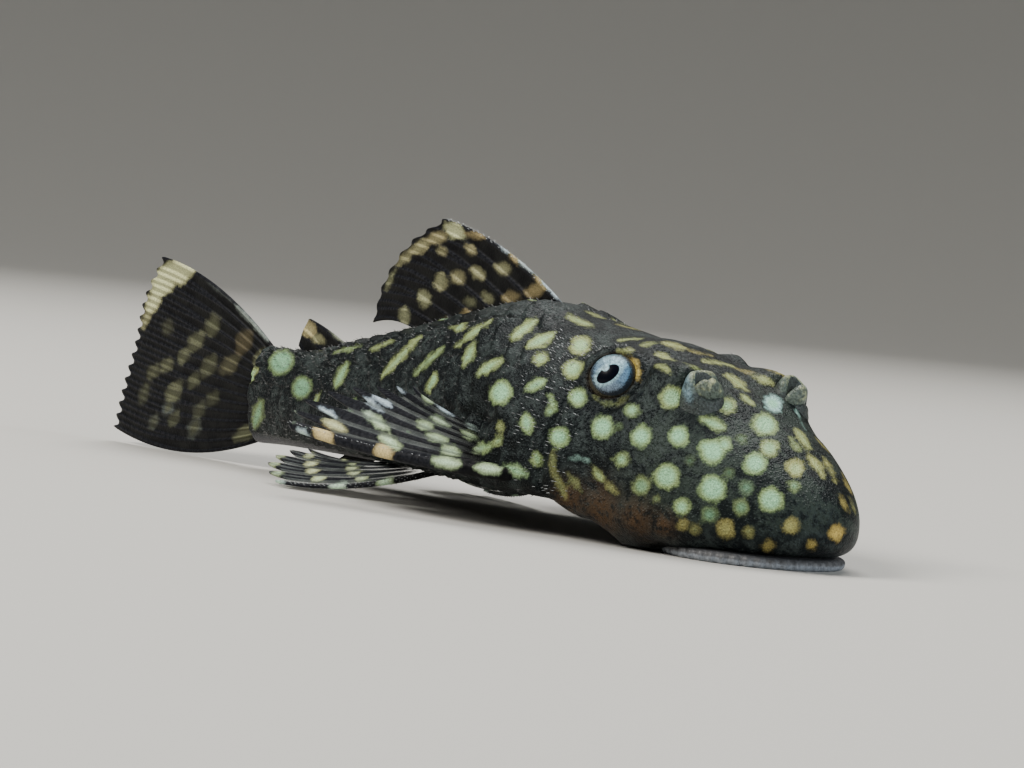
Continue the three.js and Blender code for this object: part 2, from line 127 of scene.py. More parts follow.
# Fins: root and rim curves of (station, side, height), the bow of first and last ray, and their rays.
FINS = {
    "dorsal_fin": {
        "root": [(DORSAL_START, 0, 11.6), (28.4, 0, 10.4), (DORSAL_END - 0.4, 0, 9.2)],
        "rim": [(34.1, 0.2, 16.4), (36.9, 0.35, 14.8), (39.0, 0.3, 12.4), (39.9, 0.1, 9.9)],
        "bow": [(0, 0, 1.6), (0, 0.3, 1.1)], "rays": 7, "spine": (0.2, 0.06), "scallop": 0.03,
        "ray_width": (0.13, 0.07), "split": 0.24,
    },
    "adipose_fin": {
        "root": [(41.8, 0, 7.9), (44, 0, 7.3), (46.2, 0, 6.9)],
        "rim": [(46.4, 0, 9.6), (46.9, 0, 8.8), (47.2, 0, 7.9)],
        "bow": [(0, 0, 0.3), (0, 0, 0.2)], "rays": 2, "spine": (0.16, 0.06), "scallop": 0.0,
        "ray_width": (0.13, 0.07), "split": 0.2,
    },
    "caudal_fin": {
        "root": [(49.2, 0, 7.1), (49.4, 0, 4.6), (49.4, 0, 2.1)],
        "rim": [
            (62.1, 0.5, 12.4), (63.9, 0.4, 9.6), (64.9, 0.1, 6.7), (66.1, -0.1, 3.8), (66.9, -0.2, 0.95),
        ],
        "bow": [(0, 0, 1.9), (0, 0.2, -2.6)], "rays": 14, "spine": (0.14, 0.05), "scallop": 0.03,
        "ray_width": (0.15, 0.09), "split": 0.24,
    },
    "anal_fin": {
        "root": [(37.2, 0, 2.6), (38.7, 0, 2.5), (40.2, 0, 2.5)],
        "rim": [(42.6, 0, 0.45), (43.3, 0.05, 0.75), (42.9, 0, 1.1)],
        "bow": [(-0.3, 0, -0.5), (0, 0, -0.2)], "rays": 4, "spine": (0.1, 0.04), "scallop": 0.05,
        "ray_width": (0.15, 0.09), "split": 0.2,
    },
    "pectoral_fin": {
        "root": [(15.9, 7.7, 3.1), (17.6, 7.3, 3.9), (19.8, 7.0, 4.9)],
        "rim": [
            (32.6, 11.0, 4.0), (33.4, 9.8, 5.2), (31.8, 8.3, 6.2), (29.0, 7.4, 6.6), (26.3, 7.4, 6.9),
        ],
        "bow": [(0, 1.0, -0.6), (0, 1.6, 0.2)], "rays": 7, "spine": (0.5, 0.3), "scallop": 0.2,
        "ray_width": (0.3, 0.2), "split": 0.15,
    },
    "pelvic_fin": {
        "root": [(26.6, 4.2, 2.4), (28.6, 3.2, 2.5), (30.4, 2.3, 2.6)],
        "rim": [
            (37.6, 7.9, 0.32), (39.4, 7.2, 0.8), (40.6, 6.2, 1.35), (40.5, 5.2, 1.85), (39.4, 4.4, 2.2),
        ],
        "bow": [(0, 0.6, -1.25), (0, 0.6, -1.15)], "rays": 5, "spine": (0.22, 0.1), "scallop": 0.1,
        "ray_width": (0.22, 0.12), "split": 0.2,
    },
}

# Markings read from the photograph: (x, y, radius, warmth, strength) in its pixels. Warmth runs
# from -1, bluish white, through 0, pale green, to 1, orange.
HEAD_SPOTS = [
    (670, 398, 12, 0.25, 1), (602, 427, 12, 0, 1), (641, 435, 11, 0, 1), (678, 436, 11, 0.05, 1),
    (578, 398, 10, 0.15, 1), (574, 367, 11, 0.3, 1), (581, 346, 11, 0.35, 1), (560, 436, 10, 0.05, 1),
    (633, 409, 8, 0.1, 0.8), (620, 460, 8, 0.2, 0.8), (666, 475, 13, 0.15, 1), (712, 488, 14, 0.05, 1),
    (714, 451, 13, 0, 1), (706, 447, 8, 0, 1), (724, 445, 8, 0, 1), (727, 405, 9, 0.3, 1),
    (755, 464, 12, 0.05, 1), (770, 447, 10, 0.3, 0.9), (766, 424, 13, 0.2, 1), (796, 468, 10, 0.45, 1),
    (770, 500, 13, 0.15, 1), (795, 486, 7, 0.2, 0.6), (747, 488, 8, -0.2, 0.35), (741, 508, 9, 0.2, 0.5),
    (709, 514, 9, 0, 0.4), (681, 508, 9, 0.15, 1), (641, 487, 10, 0.25, 0.6), (682, 523, 7, 0.6, 0.5),
    (694, 531, 6, 0.5, 0.4), (726, 528, 10, 0.6, 0.6), (790, 526, 9, 0.6, 0.7), (836, 533, 8, 1, 1),
    (768, 546, 7, 0.7, 0.5), (812, 545, 6, 0.8, 0.6), (774, 403, 10, -0.7, 1), (640, 446, 4, 0, 0.5),
    (742, 438, 6, 0.1, 0.3), (728, 473, 6, 0, 0.25), (690, 460, 6, 0, 0.2), (702, 372, 5, 0.3, 0.7),
    (541, 359, 8, 0.3, 1), (458, 326, 7, 0.3, 0.8), (500, 392, 13, 0.1, 1), (558, 435, 10, 0.05, 1),
    (301, 388, 12, 0, 0.6), (281, 362, 14, 0, 0.65), (468, 354, 7, 0.2, 0.9), (551, 410, 6, 0.1, 0.8),
    (618, 425, 4, 0, 0.3), (656, 500, 5, 0.3, 0.4), (748, 530, 6, 0.5, 0.5),
]
# Long markings, one of them a painted glint: (x, y, x, y, radius, warmth, strength) from end to end.
BODY_BARS_AND_GLINT = [
    (702, 419, 724, 429, 7, 0.2, 1), (742, 394, 754, 403, 4.5, 0.35, 1),
    (790, 438, 800, 451, 4, 0.3, 0.7), (797, 428, 809, 447, 5.5, 0.4, 1),
    (809, 454, 824, 476, 5, 0.45, 1), (824, 457, 836, 482, 3.5, 0.5, 1),
    (618, 338, 643, 336, 3.2, 0.35, 1), (641, 344, 655, 343, 2.8, 0.35, 0.8),
    (664, 339, 685, 348, 4.2, 0.45, 1), (655, 354, 672, 357, 3.6, 0.4, 1),
    (672, 357, 695, 366, 3.2, 0.35, 1), (618, 350, 635, 349, 3.4, 0.4, 0.8),
    (655, 363, 671, 371, 4.2, 0.35, 0.9), (703, 359, 735, 364, 3.4, 0.4, 1),
    (726, 374, 748, 387, 5.2, 0.4, 1), (754, 376, 774, 383, 4.4, 0.4, 1),
    (768, 369, 786, 375, 2.6, 0.6, 0.9), (840, 495, 848, 512, 2.8, 0.7, 0.8),
    (845, 473, 854, 492, 2.6, 0.7, 0.8), (818, 436, 830, 449, 2.8, 0.6, 0.8),
    (690, 374, 708, 381, 3, 0.3, 0.6), (551, 452, 553, 469, 4.2, 0.4, 0.5),
    (554, 470, 564, 498, 5, 0.45, 0.42), (594, 469, 603, 480, 6, 0.35, 0.8),
    (603, 480, 617, 493, 4.2, 0.45, 0.6), (567, 474, 580, 490, 4, 0.4, 0.42),
    # The bar from (570, 459) to (588, 459) is a painted bluish glint on the cheek, not a marking.
    (506, 467, 525, 474, 6.2, -0.15, 0.95), (570, 459, 588, 459, 2.6, -0.6, 0.5),
    (499, 423, 501, 436, 3.8, 0.35, 0.8), (501, 437, 494, 445, 5, 0.25, 0.95),
    (490, 447, 474, 449, 6.6, 0.12, 1), (630, 361, 637, 366, 5.5, 0.8, 1),
    (637, 366, 638, 376, 6.5, 0.8, 1), (592, 396, 600, 403, 3.2, 0.35, 0.5),
    (600, 403, 617, 405, 3.6, 0.3, 0.5), (617, 405, 628, 397, 3.2, 0.4, 0.35),
    (797, 409, 808, 429, 1.6, -0.6, 0.9), (478, 375, 498, 358, 7, 0.25, 1),
    (527, 391, 545, 381, 6.5, 0.1, 1), (526, 415, 528, 430, 8, 0.1, 1),
    (535, 456, 537, 463, 6.5, 0.2, 0.9), (549, 395, 555, 410, 5, 0.1, 0.9),
    (568, 316, 592, 325, 5, 0.35, 0.9), (510, 338, 537, 319, 6.5, 0.3, 1),
    (528, 346, 553, 334, 7.5, 0.3, 1), (462, 363, 474, 345, 6.5, 0.25, 0.9),
    (457, 346, 490, 319, 5.5, 0.3, 0.9), (451, 328, 466, 322, 3.5, 0.3, 0.8),
    (415, 374, 443, 346, 5, 0.2, 0.8), (381, 377, 420, 337, 5.6, 0.3, 0.9),
    (370, 349, 392, 340, 4, 0.3, 0.8), (335, 386, 347, 362, 6.5, 0.2, 0.8),
    (335, 352, 360, 344, 3.6, 0.2, 0.6), (261, 403, 253, 429, 7, 0.2, 0.6),
    (588, 309, 606, 316, 3.4, 0.4, 0.7), (618, 322, 640, 327, 3, 0.5, 0.7),
    (690, 351, 712, 353, 2.6, 0.6, 0.6), (737, 366, 752, 371, 2.4, 0.6, 0.6),
    (850, 497, 857, 514, 2.4, 0.5, 0.6), (522, 329, 527, 325, 3, 0.2, 0.5),
]
FIN_BARS = {
    "dorsal_fin": [
        (404, 312, 405, 318, 7.5, 0.2, 0.48), (423, 295, 424, 301, 8, 0.25, 0.53),
        (440, 279, 441, 285, 8, 0.35, 0.53), (456, 275, 460, 279, 7.5, 0.5, 0.53),
        (474, 271, 480, 275, 7.5, 0.4, 0.53), (497, 266, 506, 270, 7.5, 0.4, 0.53),
        (511, 253, 516, 262, 4.5, 0.85, 0.62), (468, 247, 473, 251, 6, 0.55, 0.48),
        (440, 250, 444, 253, 5, 0.5, 0.43), (484, 237, 464, 233, 4.5, 0.9, 0.62),
        (462, 235, 447, 227, 8.5, 0.15, 1), (446, 234, 428, 241, 7, 0.6, 0.62),
        (428, 241, 411, 252, 6.5, 0.5, 0.62), (411, 252, 398, 265, 5, 0.45, 0.53),
        (395, 269, 385, 289, 3.5, 0.2, 0.43), (468, 301, 473, 303, 5.5, 0.2, 0.32),
        (486, 296, 490, 299, 6.5, 0.3, 0.43), (462, 314, 468, 313, 5, 0.9, 0.56),
        (506, 298, 517, 296, 7, 0.8, 0.5), (528, 292, 541, 290, 8, 0.85, 0.62),
        (536, 277, 540, 283, 4.5, 1, 0.62), (497, 311, 505, 309, 5, 0.6, 0.32),
        (518, 306, 527, 303, 6, 0.7, 0.32), (442, 320, 450, 320, 5, 0.4, 0.27),
        (497, 241, 515, 254, 2.4, -0.7, 1), (517, 256, 533, 271, 2.4, -0.6, 1),
        (537, 275, 565, 299, 2.8, -0.7, 1),
    ],
    "caudal_fin": [
        (188, 270, 168, 276, 13, 0.3, 1), (170, 268, 156, 294, 13, 0.25, 1),
        (158, 290, 148, 312, 8, 0.3, 1), (149, 306, 143, 326, 5, 0.4, 0.53),
        (234, 304, 268, 340, 2.6, -0.5, 0.5), (206, 282, 232, 303, 1.6, -0.5, 0.17),
        (168, 323, 166, 332, 7, 0.2, 0.07), (214, 319, 210, 332, 9, 0.2, 0.15),
        (201, 334, 191, 349, 9, 0.2, 0.17), (187, 351, 181, 362, 7, 0.1, 0.17),
        (248, 334, 239, 350, 10, 0.8, 0.15), (236, 358, 224, 371, 9, 0.5, 0.15),
        (170, 361, 163, 370, 7, 0.2, 0.17), (157, 366, 150, 377, 7, 0.2, 0.13),
        (213, 357, 202, 376, 8, 0.2, 0.13), (196, 375, 191, 387, 7, 0.1, 0.15),
        (178, 384, 169, 402, 9, 0.1, 0.17), (170, 402, 165, 412, 7, -0.5, 0.13),
        (202, 403, 195, 417, 7, -0.2, 0.11), (156, 416, 150, 428, 6, -0.3, 0.1),
        (177, 413, 171, 425, 6, 0, 0.11), (216, 393, 210, 403, 7, 0, 0.1),
        (197, 420, 190, 435, 8, -0.4, 0.13), (146, 384, 140, 402, 6, 0.1, 0.09),
        (264, 394, 256, 428, 9, 0.2, 0.28), (254, 428, 236, 438, 8, 0, 0.2),
        (262, 352, 256, 368, 7, 0.2, 0.28),
    ],
    "adipose_fin": [
        (304, 325, 312, 333, 8, 0.65, 1), (313, 336, 322, 342, 6, 0.4, 0.6),
        (330, 330, 346, 340, 2, -0.3, 0.5),
    ],
    "pectoral_fin": [
        (508, 467, 526, 473, 7, 0, 1), (478, 466, 498, 470, 7, -0.05, 1),
        (433, 459, 459, 463, 7, 0.05, 1), (382, 450, 380, 466, 11, 0.9, 1),
        (318, 429, 326, 450, 10, 0.9, 1), (298, 430, 306, 437, 5, -0.6, 0.9),
        (442, 449, 458, 453, 6, 0.05, 1), (382, 435, 398, 445, 7, 0.15, 1),
        (325, 420, 344, 430, 6.5, 0.5, 1), (427, 435, 446, 441, 5.5, 0, 1),
        (369, 416, 387, 429, 6, -0.1, 1), (320, 408, 337, 418, 4.2, -0.8, 1),
        (418, 422, 431, 429, 5.8, 0.05, 1), (363, 411, 377, 420, 4.6, -0.3, 1),
        (363, 398, 382, 411, 3.6, -0.8, 1), (433, 416, 447, 425, 5, -0.2, 1),
        (374, 395, 391, 406, 3.2, -0.9, 1), (439, 402, 453, 415, 3.6, -0.8, 1),
        (396, 384, 404, 393, 2.4, -0.9, 0.9), (423, 394, 432, 403, 4.2, -0.1, 0.9),
        (462, 432, 477, 439, 4.4, 0, 0.9), (474, 449, 488, 447, 6.6, 0.1, 1),
        (466, 423, 482, 431, 3.2, -0.5, 0.8), (286, 412, 294, 418, 4, -0.3, 0.5),
    ],
}
# Fins that the photograph hides or bends away: bands as (share across, share along, radius, warmth,
# strength).
FIN_BANDS = {
    "pelvic_fin": [
        (0.0, 0.32, 0.62, 0.05, 1), (0.0, 0.6, 0.66, -0.35, 1), (0.0, 0.97, 0.5, -0.5, 0.8),
        (0.2, 0.42, 0.5, 0.3, 1), (0.2, 0.68, 0.52, 0.35, 1), (0.2, 0.95, 0.45, 0.2, 0.8),
        (0.4, 0.45, 0.5, 0.35, 1), (0.4, 0.7, 0.52, 0.45, 1), (0.4, 0.96, 0.45, 0.3, 0.8),
        (0.6, 0.48, 0.48, 0.35, 1), (0.6, 0.74, 0.5, 0.45, 1), (0.6, 0.97, 0.4, 0.35, 0.8),
        (0.8, 0.52, 0.4, 0.3, 0.9), (0.8, 0.84, 0.4, 0.4, 0.9), (1.0, 0.66, 0.34, 0.35, 0.8),
    ],
    "anal_fin": [(0.1, 0.75, 0.3, 0.3, 0.7), (0.5, 0.6, 0.25, 0.2, 0.6), (0.8, 0.9, 0.25, 0.3, 0.6)],
}
# Places of the brownish flush low on the cheek: (x, y, radius) in the photograph's pixels.
FLUSH = [(600, 514, 28), (635, 521, 22), (570, 504, 20), (662, 526, 14)]
# Places of deep shade behind the side fin's base, read the same way.
HOLLOWS = [
    (484, 397, 15), (472, 384, 10), (494, 412, 14), (470, 408, 12), (503, 430, 13), (512, 446, 9),
    (495, 458, 13), (511, 461, 9), (526, 486, 12), (500, 484, 14), (544, 478, 8),
]
# A ray meets a surface at points this near to it, and misses it where they are this far off.
NEAR_RAY, PAST_RAY = 0.16, 0.5
SPOT_PITCH = 2.3
SPOT_GAP = 1.2
SIGHT_STRETCH = 0.3
FLIP = np.array([1, -1, 1])
SEED = 11

# Eye rim: how far out the skin lies at each distance from the eye's axis, and where that fades.
RIM_PROFILE = [
    (0.0, 0.2), (1.1, 0.3), (1.27, 0.5), (1.36, 0.64), (1.55, 0.66), (1.75, 0.58), (2.05, 0.45), (2.4, 0.3),
]
RIM_FADE = (1.75, 2.5)
BARE_ROUND_EYE = 1.75
# Nostril tube: radius and height of its outline from the foot over the rim down into the pit.
NOSTRIL_PROFILE = [
    (0.6, -0.8), (1.5, -0.7), (1.34, -0.2), (1.16, 0.2), (1.06, 0.56), (0.94, 0.8), (0.78, 0.88),
    (0.62, 0.84), (0.5, 0.8), (0.38, 0.78), (0.05, 0.76),
]
PIT_RING, CREST_RING = 7.4, 6.8
REAR_WALL = 0.56
FRONT_WALL_DROP = 0.42
FLAP_SIZE = (0.42, 0.9, 0.92)
FLAP_RISE = 0.5
FLAP_FORWARD = 0.36
FLAP_INWARD = 0.16
# Lines of prickles on a plate: share of a plate ahead of its rear edge, share kept and relative length.
PRICKLE_LINES = [(0.12, 0.75, 1.0), (0.5, 0.35, 0.6), (0.95, 0.35, 0.6)]
# Corners of the nape's prickles: station and degrees.
NAPE_PRICKLES = [(12.8, -12), (19.5, 66)]
SPINE_PRICKLES = {"pectoral_fin": 240, "pelvic_fin": 140, "dorsal_fin": 90}
SPINE_ROWS = 5
SPINE_PRICKLE_RADIUS = 0.035
SPINE_PRICKLE_SPAN = (0.12, 0.98)
# How far the spine of a paired fin bends in at its root.
SPINE_ROOT_BEND = 0.8
# Each prickle is a patch of this share of the unwrapped skin, which is so many millimetres long.
PATCH = 0.003
SKIN_MAP_LENGTH = 52
# Fineness of the meshes: points round each form, rows along it and points across a fin's ray.
SNOUT_ROWS, REAR_ROWS, SKIN_COLUMNS = 130, 309, 210
TUBE_SIDES, NOSTRIL_SIDES, FLAP_SIDES, EYE_SIDES, LIP_SIDES, FLOOR_SIDES = 16, 64, 40, 120, 260, 160
FIN_ROWS, SPINE_RINGS, RAY_POINTS, FINE_RAY_POINTS = 72, 90, 12, 14
# The iris map counts in hundredths of a metre.
IRIS_UNIT = 0.01
# A long marking is narrower at its ends by this share, and all are this much wider than they were read.
MARK_TAPER = 0.45
MARK_WIDTH = 1.06

# The stage, in metres: the floor's rounded rim, and lamps as (name, right, up and towards the camera from
# the fish, size, colour).
COVE_RADIUS = 0.6
WALL_HEIGHT = 1.2
LAMPS = [
    ("key", -0.42, 0.46, 0.16, 0.30, (1.0, 0.97, 0.92)),
    ("fill", 0.42, 0.16, 0.34, 0.40, (0.86, 0.93, 1.0)),
    ("top", 0.05, 0.55, -0.22, 0.40, (1.0, 0.98, 0.95)),
]


def shift_to_frame():
    """Millimetres from the fish's own coordinates to the frame's, by the middle of the right eye's box."""
    low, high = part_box("eye_right")
    own = Vector((-EYE_CENTRE[0], -EYE_CENTRE[1], EYE_CENTRE[2]))
    return np.array((low + high) / 2 / MM - own)


SHIFT = shift_to_frame()


def unit(v):
    """Vectors of length one along the last axis."""
    return v / np.maximum(np.linalg.norm(v, axis=-1, keepdims=True), 1e-12)


def step(low, high, x):
    """0 below low, 1 above high, and a smooth rise 3t^2 - 2t^3 between."""
    t = np.clip((x - low) / (high - low), 0, 1)
    return t * t * (3 - 2 * t)


def bell(off, reach):
    """A bell curve e^-(off/reach)^2, 1 in the middle."""
    return np.exp(-((off / reach) ** 2))


def smooth(table, x):
    """A cubic through a table's points that never overshoots: its tangents are harmonic means of slopes."""
    xs, ys = np.array(table, float).T
    width = np.diff(xs)
    slope = np.diff(ys) / width
    rising = slope[:-1] * slope[1:] > 0
    total = np.where(rising, slope[:-1] + slope[1:], 1)
    middle = np.where(rising, 2 * slope[:-1] * slope[1:] / total, 0)
    tangent = np.concatenate([slope[:1], middle, slope[-1:]])
    i = np.clip(np.searchsorted(xs, x, side="right") - 1, 0, len(width) - 1)
    t = np.clip((x - xs[i]) / width[i], 0, 1)
    u = 1 - t
    return (
        u * u * (1 + 2 * t) * ys[i] + t * u * u * width[i] * tangent[i]
        + t * t * (3 - 2 * t) * ys[i + 1] - t * t * u * width[i] * tangent[i + 1]
    )


def section(station, angle):
    """The body's surface: a superellipse at each station, with powers of its own above and below the waist,
    closed at the snout by a quarter ellipse."""
    ahead = 1 - np.minimum(station, SNOUT_LENGTH) / SNOUT_LENGTH
    close = np.sqrt(np.clip(1 - ahead**2, 0, 1))
    waist = smooth(WAIST, station)
    c, s = np.cos(angle), np.sin(angle)
    power = 2 / np.where(s >= 0, smooth(BACK_POWER, station), smooth(BELLY_POWER, station))
    above = (smooth(BACK, station) - waist) * close**0.75
    below = (waist - smooth(BELLY, station)) * close**0.5
    side = smooth(HALF_WIDTH, station) * close * np.sign(c) * np.abs(c) ** power
    height = waist + np.where(s >= 0, above, below) * np.sign(s) * np.abs(s) ** power
    return np.stack(np.broadcast_arrays(-station, side, height), -1)


def section_normal(station, angle):
    """Square to the surface, from the cross product of its two derivatives."""
    d = 0.01
    along = section(station + d, angle) - section(np.maximum(station - d, 0), angle)
    round_ = section(station, angle + d) - section(station, angle - d)
    return unit(np.cross(along, round_))


def column_angles(count):
    """Angles that share the section at the eyes into equal lengths, from the fish's left over its back."""
    fine = np.linspace(0, 2 * np.pi, 4001)
    ring = section(np.full_like(fine, EYE_STATION), fine)
    run = np.concatenate([[0], np.cumsum(np.linalg.norm(np.diff(ring, axis=0), axis=1))])
    return np.interp(np.arange(count) / count * run[-1], run, fine)


def fold(angle):
    """The same height on the left flank, in degrees: 90 at the back, -90 at the belly."""
    a = np.degrees(angle) % 360
    return np.where((a > 90) & (a < 270), 180 - a, np.where(a >= 270, a - 360, a))


def plate_start(degrees):
    """The station at which the plates begin, further back over the neck."""
    return GILL_STATION + 0.3 + NECK_LEAN * np.clip(np.sin(np.radians(degrees)), 0, 1) ** 1.5


def plate_shift(row, across):
    """How far back, in plates, a row's rear edges lie: bowed, and in every other row by half a plate."""
    return PLATE_BULGE * 4 * across * (1 - across) + 0.5 * (row % 2)


def plate_place(station, angle):
    """For a point of the body: its row of plates, the shares across it and along its plate, and degrees."""
    degrees = fold(angle)
    row = np.clip(np.searchsorted(-PLATE_ROWS, -degrees, side="right") - 1, 0, len(PLATE_ROWS) - 2)
    across = (PLATE_ROWS[row] - degrees) / (PLATE_ROWS[row] - PLATE_ROWS[row + 1])
    along = (station - plate_start(degrees)) / PLATE_PITCH - plate_shift(row, across)
    return row, across, along - np.floor(along), degrees


def plate_relief(station, angle):
    """How high the plates stand: each rises to its rear edge, is crowned across and may bear a keel."""
    row, across, along, degrees = plate_place(station, angle)
    edge = step(0, 0.07, 1 - along)
    crown = 0.25 + 0.75 * step(0, 0.22, np.minimum(across, 1 - across) * 2)
    keel = 0.4 * bell(across - 0.5, 0.13) * (row % 2 == 1)
    within = step(-4, 4, degrees - PLATE_ROWS[-1]) * step(1, -5, degrees - PLATE_ROWS[0])
    begun = step(0, 1.6, station - plate_start(degrees))
    rise = (0.1 + 0.9 * along**1.4) * edge * crown + keel * along * edge
    return smooth(PLATE_HEIGHT, station) * rise * within * begun


def eye_frame(side):
    """Middle and outward axis of an eye, in the fish's coordinates; side is -1 on the right."""
    return np.array(EYE_CENTRE) * (-1, side, 1), unit(np.array(EYE_AXIS) * (1, side, 1))


def ripple(points, size, seed):
    """Soft lumps of about the given size: a sum of sines along seeded directions, between -1 and 1."""
    random = np.random.default_rng(seed)
    total = np.zeros(points.shape[:-1])
    for _ in range(9):
        wave = unit(random.normal(size=3)) * 2 * np.pi / (size * random.uniform(0.7, 1.5))
        total += np.sin(points @ wave + random.uniform(0, 2 * np.pi))
    return total / 4.5


def along_and_round(form, station, degrees):
    """A mound or dent: a bell curve along the body times one round it."""
    along = bell(station - form["station"], form["length"])
    return form["height"] * along * bell(degrees - form["degrees"], form["turn"])


def lumps(form, points):
    """Soft lumps of a form's height and size."""
    return form["height"] * ripple(points, form["size"], form["seed"])


def head_lift(base, station):
    """Soft lumps over the head, a mound under each nostril and a brow from there to the eye."""
    lift = lumps(FINE_LUMPS, base) * step(3, 8, station) + lumps(BROAD_LUMPS, base) * step(0.2, 3, station)
    lift *= step(17, 12, station)
    nose = section(np.array(NOSTRIL_STATION), np.array(nostril_angle()))
    ridge = BROW["height"] * step(7.9, 9.0, station) * step(12.2, 9.4, station)
    line = BROW["side"] + BROW["spread"] * np.clip((station - 8.2) / 3, 0, 1)
    for side in (-1, 1):
        away = np.linalg.norm(base - nose * (1, side, 1), axis=-1)
        lift += NOSTRIL_MOUND["height"] * bell(away, NOSTRIL_MOUND["reach"])
        lift += ridge * bell(base[..., 1] * side - line, BROW["reach"])
    return lift


def gill_lift(station, degrees):
    """The gill cover's rear edge: a groove with a swelling ahead of it, on a curved line."""
    seam = GILL_STATION - 1.9 + 0.9 * np.cos(np.radians(degrees * 2.2))
    cover = step(34, 20, degrees) * step(-60, -40, degrees)
    edges = (GILL_GROOVE, GILL_SWELLING)
    return cover * sum(e["height"] * bell(station - seam + e["ahead"], e["reach"]) for e in edges)


def skin_surface(station, angle, plate_scale):
    """The skin: the section, lifted by plates, the head's soft forms, the gill cover's edge and the socket
    of the side fins, and a little flatter over the nape. Returns points and the plates' height."""
    base = section(station, angle)
    degrees = fold(angle)
    plates = plate_relief(station, angle) * plate_scale
    lift = plates + head_lift(base, station) + gill_lift(station, degrees)
    lift += NAPE_DENT * step(12.5, 16.5, station) * step(23.5, 20, station) * step(30, 60, degrees)
    for form in (SIDE_FIN_HOLLOW, SIDE_FIN_SOCKET):
        lift += along_and_round(form, station, degrees)
    return base + section_normal(station, angle) * lift[..., None], plates


def nostril_angle():
    """The angle on the left side at which the back is as far out as the nostril."""
    turns = np.linspace(0, np.pi / 2, 400)
    sides = section(np.full_like(turns, NOSTRIL_STATION), turns)[:, 1]
    return float(np.interp(NOSTRIL_SPREAD, sides[::-1], turns[::-1]))


def curve(points, t):
    """A centripetal Catmull-Rom curve through the points, at shares t from 0 to 1."""
    p = np.array(points, float)
    p = np.concatenate([[2 * p[0] - p[1]], p, [2 * p[-1] - p[-2]]])
    at = np.clip(t, 0, 1) * (len(points) - 1)
    i = np.minimum(at.astype(int), len(points) - 2)
    w = (at - i)[..., None]
    a, b, c, d = p[i], p[i + 1], p[i + 2], p[i + 3]
    before, run, after = (
        np.linalg.norm(q - r, axis=-1, keepdims=True) ** 0.5 for q, r in ((b, a), (c, b), (d, c))
    )
    first = ((b - a) / before - (c - a) / (before + run) + (c - b) / run) * run
    second = ((c - b) / run - (d - b) / (run + after) + (d - c) / after) * run
    square, cube = 3 * (c - b) - 2 * first - second, 2 * (b - c) + first + second
    return b + w * first + w**2 * square + w**3 * cube


# Meshes

def grid_faces(rows, columns, start=0, turned=False, closed=False):
    """Quads over a grid of points, row after row; closed joins the last column to the first."""
    i, j = np.meshgrid(np.arange(rows - 1), np.arange(columns - (0 if closed else 1)), indexing="ij")
    k = (j + 1) % columns
    quads = np.stack([i * columns + j, (i + 1) * columns + j, (i + 1) * columns + k, i * columns + k], -1)
    quads = quads.reshape(-1, 4) + start
    return quads[:, ::-1] if turned else quads


def make_piece(name, points, faces, material, attributes=None, nodes=(), uv=None):
    """A mesh object at the origin from points in the fish's millimetres, riding on the fish."""
    mesh = bpy.data.meshes.new(name)
    mesh.from_pydata(((points + SHIFT) * MM).tolist(), [], [f for part in faces for f in part.tolist()])
    mesh.validate()
    mesh.shade_smooth()
    for key, values in (attributes or {}).items():
        layer = mesh.attributes.new(key, "FLOAT", "POINT")
        layer.data.foreach_set("value", values.astype(np.float32).ravel())
    if uv:
        key, values = uv
        corner = np.zeros(len(mesh.loops), np.int32)
        mesh.loops.foreach_get("vertex_index", corner)
        mesh.uv_layers.new(name=key).data.foreach_set("uv", values[corner].astype(np.float32).ravel())
    mesh.materials.append(material)
    piece = bpy.data.objects.new(name, mesh)
    bpy.context.scene.collection.objects.link(piece)
    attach(piece, "root")
    if nodes:
        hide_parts(*nodes)
    return piece


def closed_tube(rings):
    """Points and faces of a body through rings, each end closed by a fan to the middle of its ring."""
    rows, columns = rings.shape[:2]
    points = np.concatenate([rings.reshape(-1, 3), rings[0].mean(0)[None], rings[-1].mean(0)[None]])
    j = np.arange(columns)
    k = (j + 1) % columns
    last = (rows - 1) * columns
    front = np.stack([j, k, np.full(columns, rows * columns)], -1)
    rear = np.stack([last + k, last + j, np.full(columns, rows * columns + 1)], -1)
    return points, [grid_faces(rows, columns, closed=True), front, rear]


def closed_sheet(front, back):
    """Points and faces of a thin sheet between two grids, with walls round its edge."""
    rows, columns = front.shape[:2]
    points = np.concatenate([front.reshape(-1, 3), back.reshape(-1, 3)])
    far = rows * columns
    i, j = np.arange(rows), np.arange(columns)
    first, last = j, j + (rows - 1) * columns
    left, right = i * columns, i * columns + columns - 1
    edges = [(first, False), (last, True), (left, True), (right, False)]
    faces = [grid_faces(rows, columns), grid_faces(rows, columns, far, turned=True)]
    for line, turned in edges:
        a, b = line[:-1], line[1:]
        wall = np.stack([a, b, b + far, a + far], -1)
        faces.append(wall[:, ::-1] if turned else wall)
    return points, faces


def turned_about(axis, centre, radii, heights, columns):
    """A surface of revolution about an axis: rings of the given radii at heights along it."""
    helper = np.array([0.0, 0.0, 1.0]) if abs(axis[2]) < 0.9 else np.array([1.0, 0.0, 0.0])
    right = unit(np.cross(helper, axis))
    up = np.cross(axis, right)
    turn = np.arange(columns) / columns * 2 * np.pi
    ring = np.cos(turn)[:, None] * right - np.sin(turn)[:, None] * up
    return centre + heights[:, None, None] * axis + radii[:, None, None] * ring[None]


# Markings

def camera_axes():
    """The photograph's camera in the fish's coordinates: place, backward, right and up, roll included."""
    a, e, r = (math.radians(CAMERA[key]) for key in ("azimuth", "elevation", "roll"))
    back = np.array([math.sin(a) * math.cos(e), -math.cos(a) * math.cos(e), math.sin(e)])
    level = np.array([math.cos(a), math.sin(a), 0.0])
    rise = np.cross(back, level)
    right = level * math.cos(r) - rise * math.sin(r)
    up = level * math.sin(r) + rise * math.cos(r)
    return np.array(CAMERA["aim"]) + back * CAMERA["distance"], back, right, up


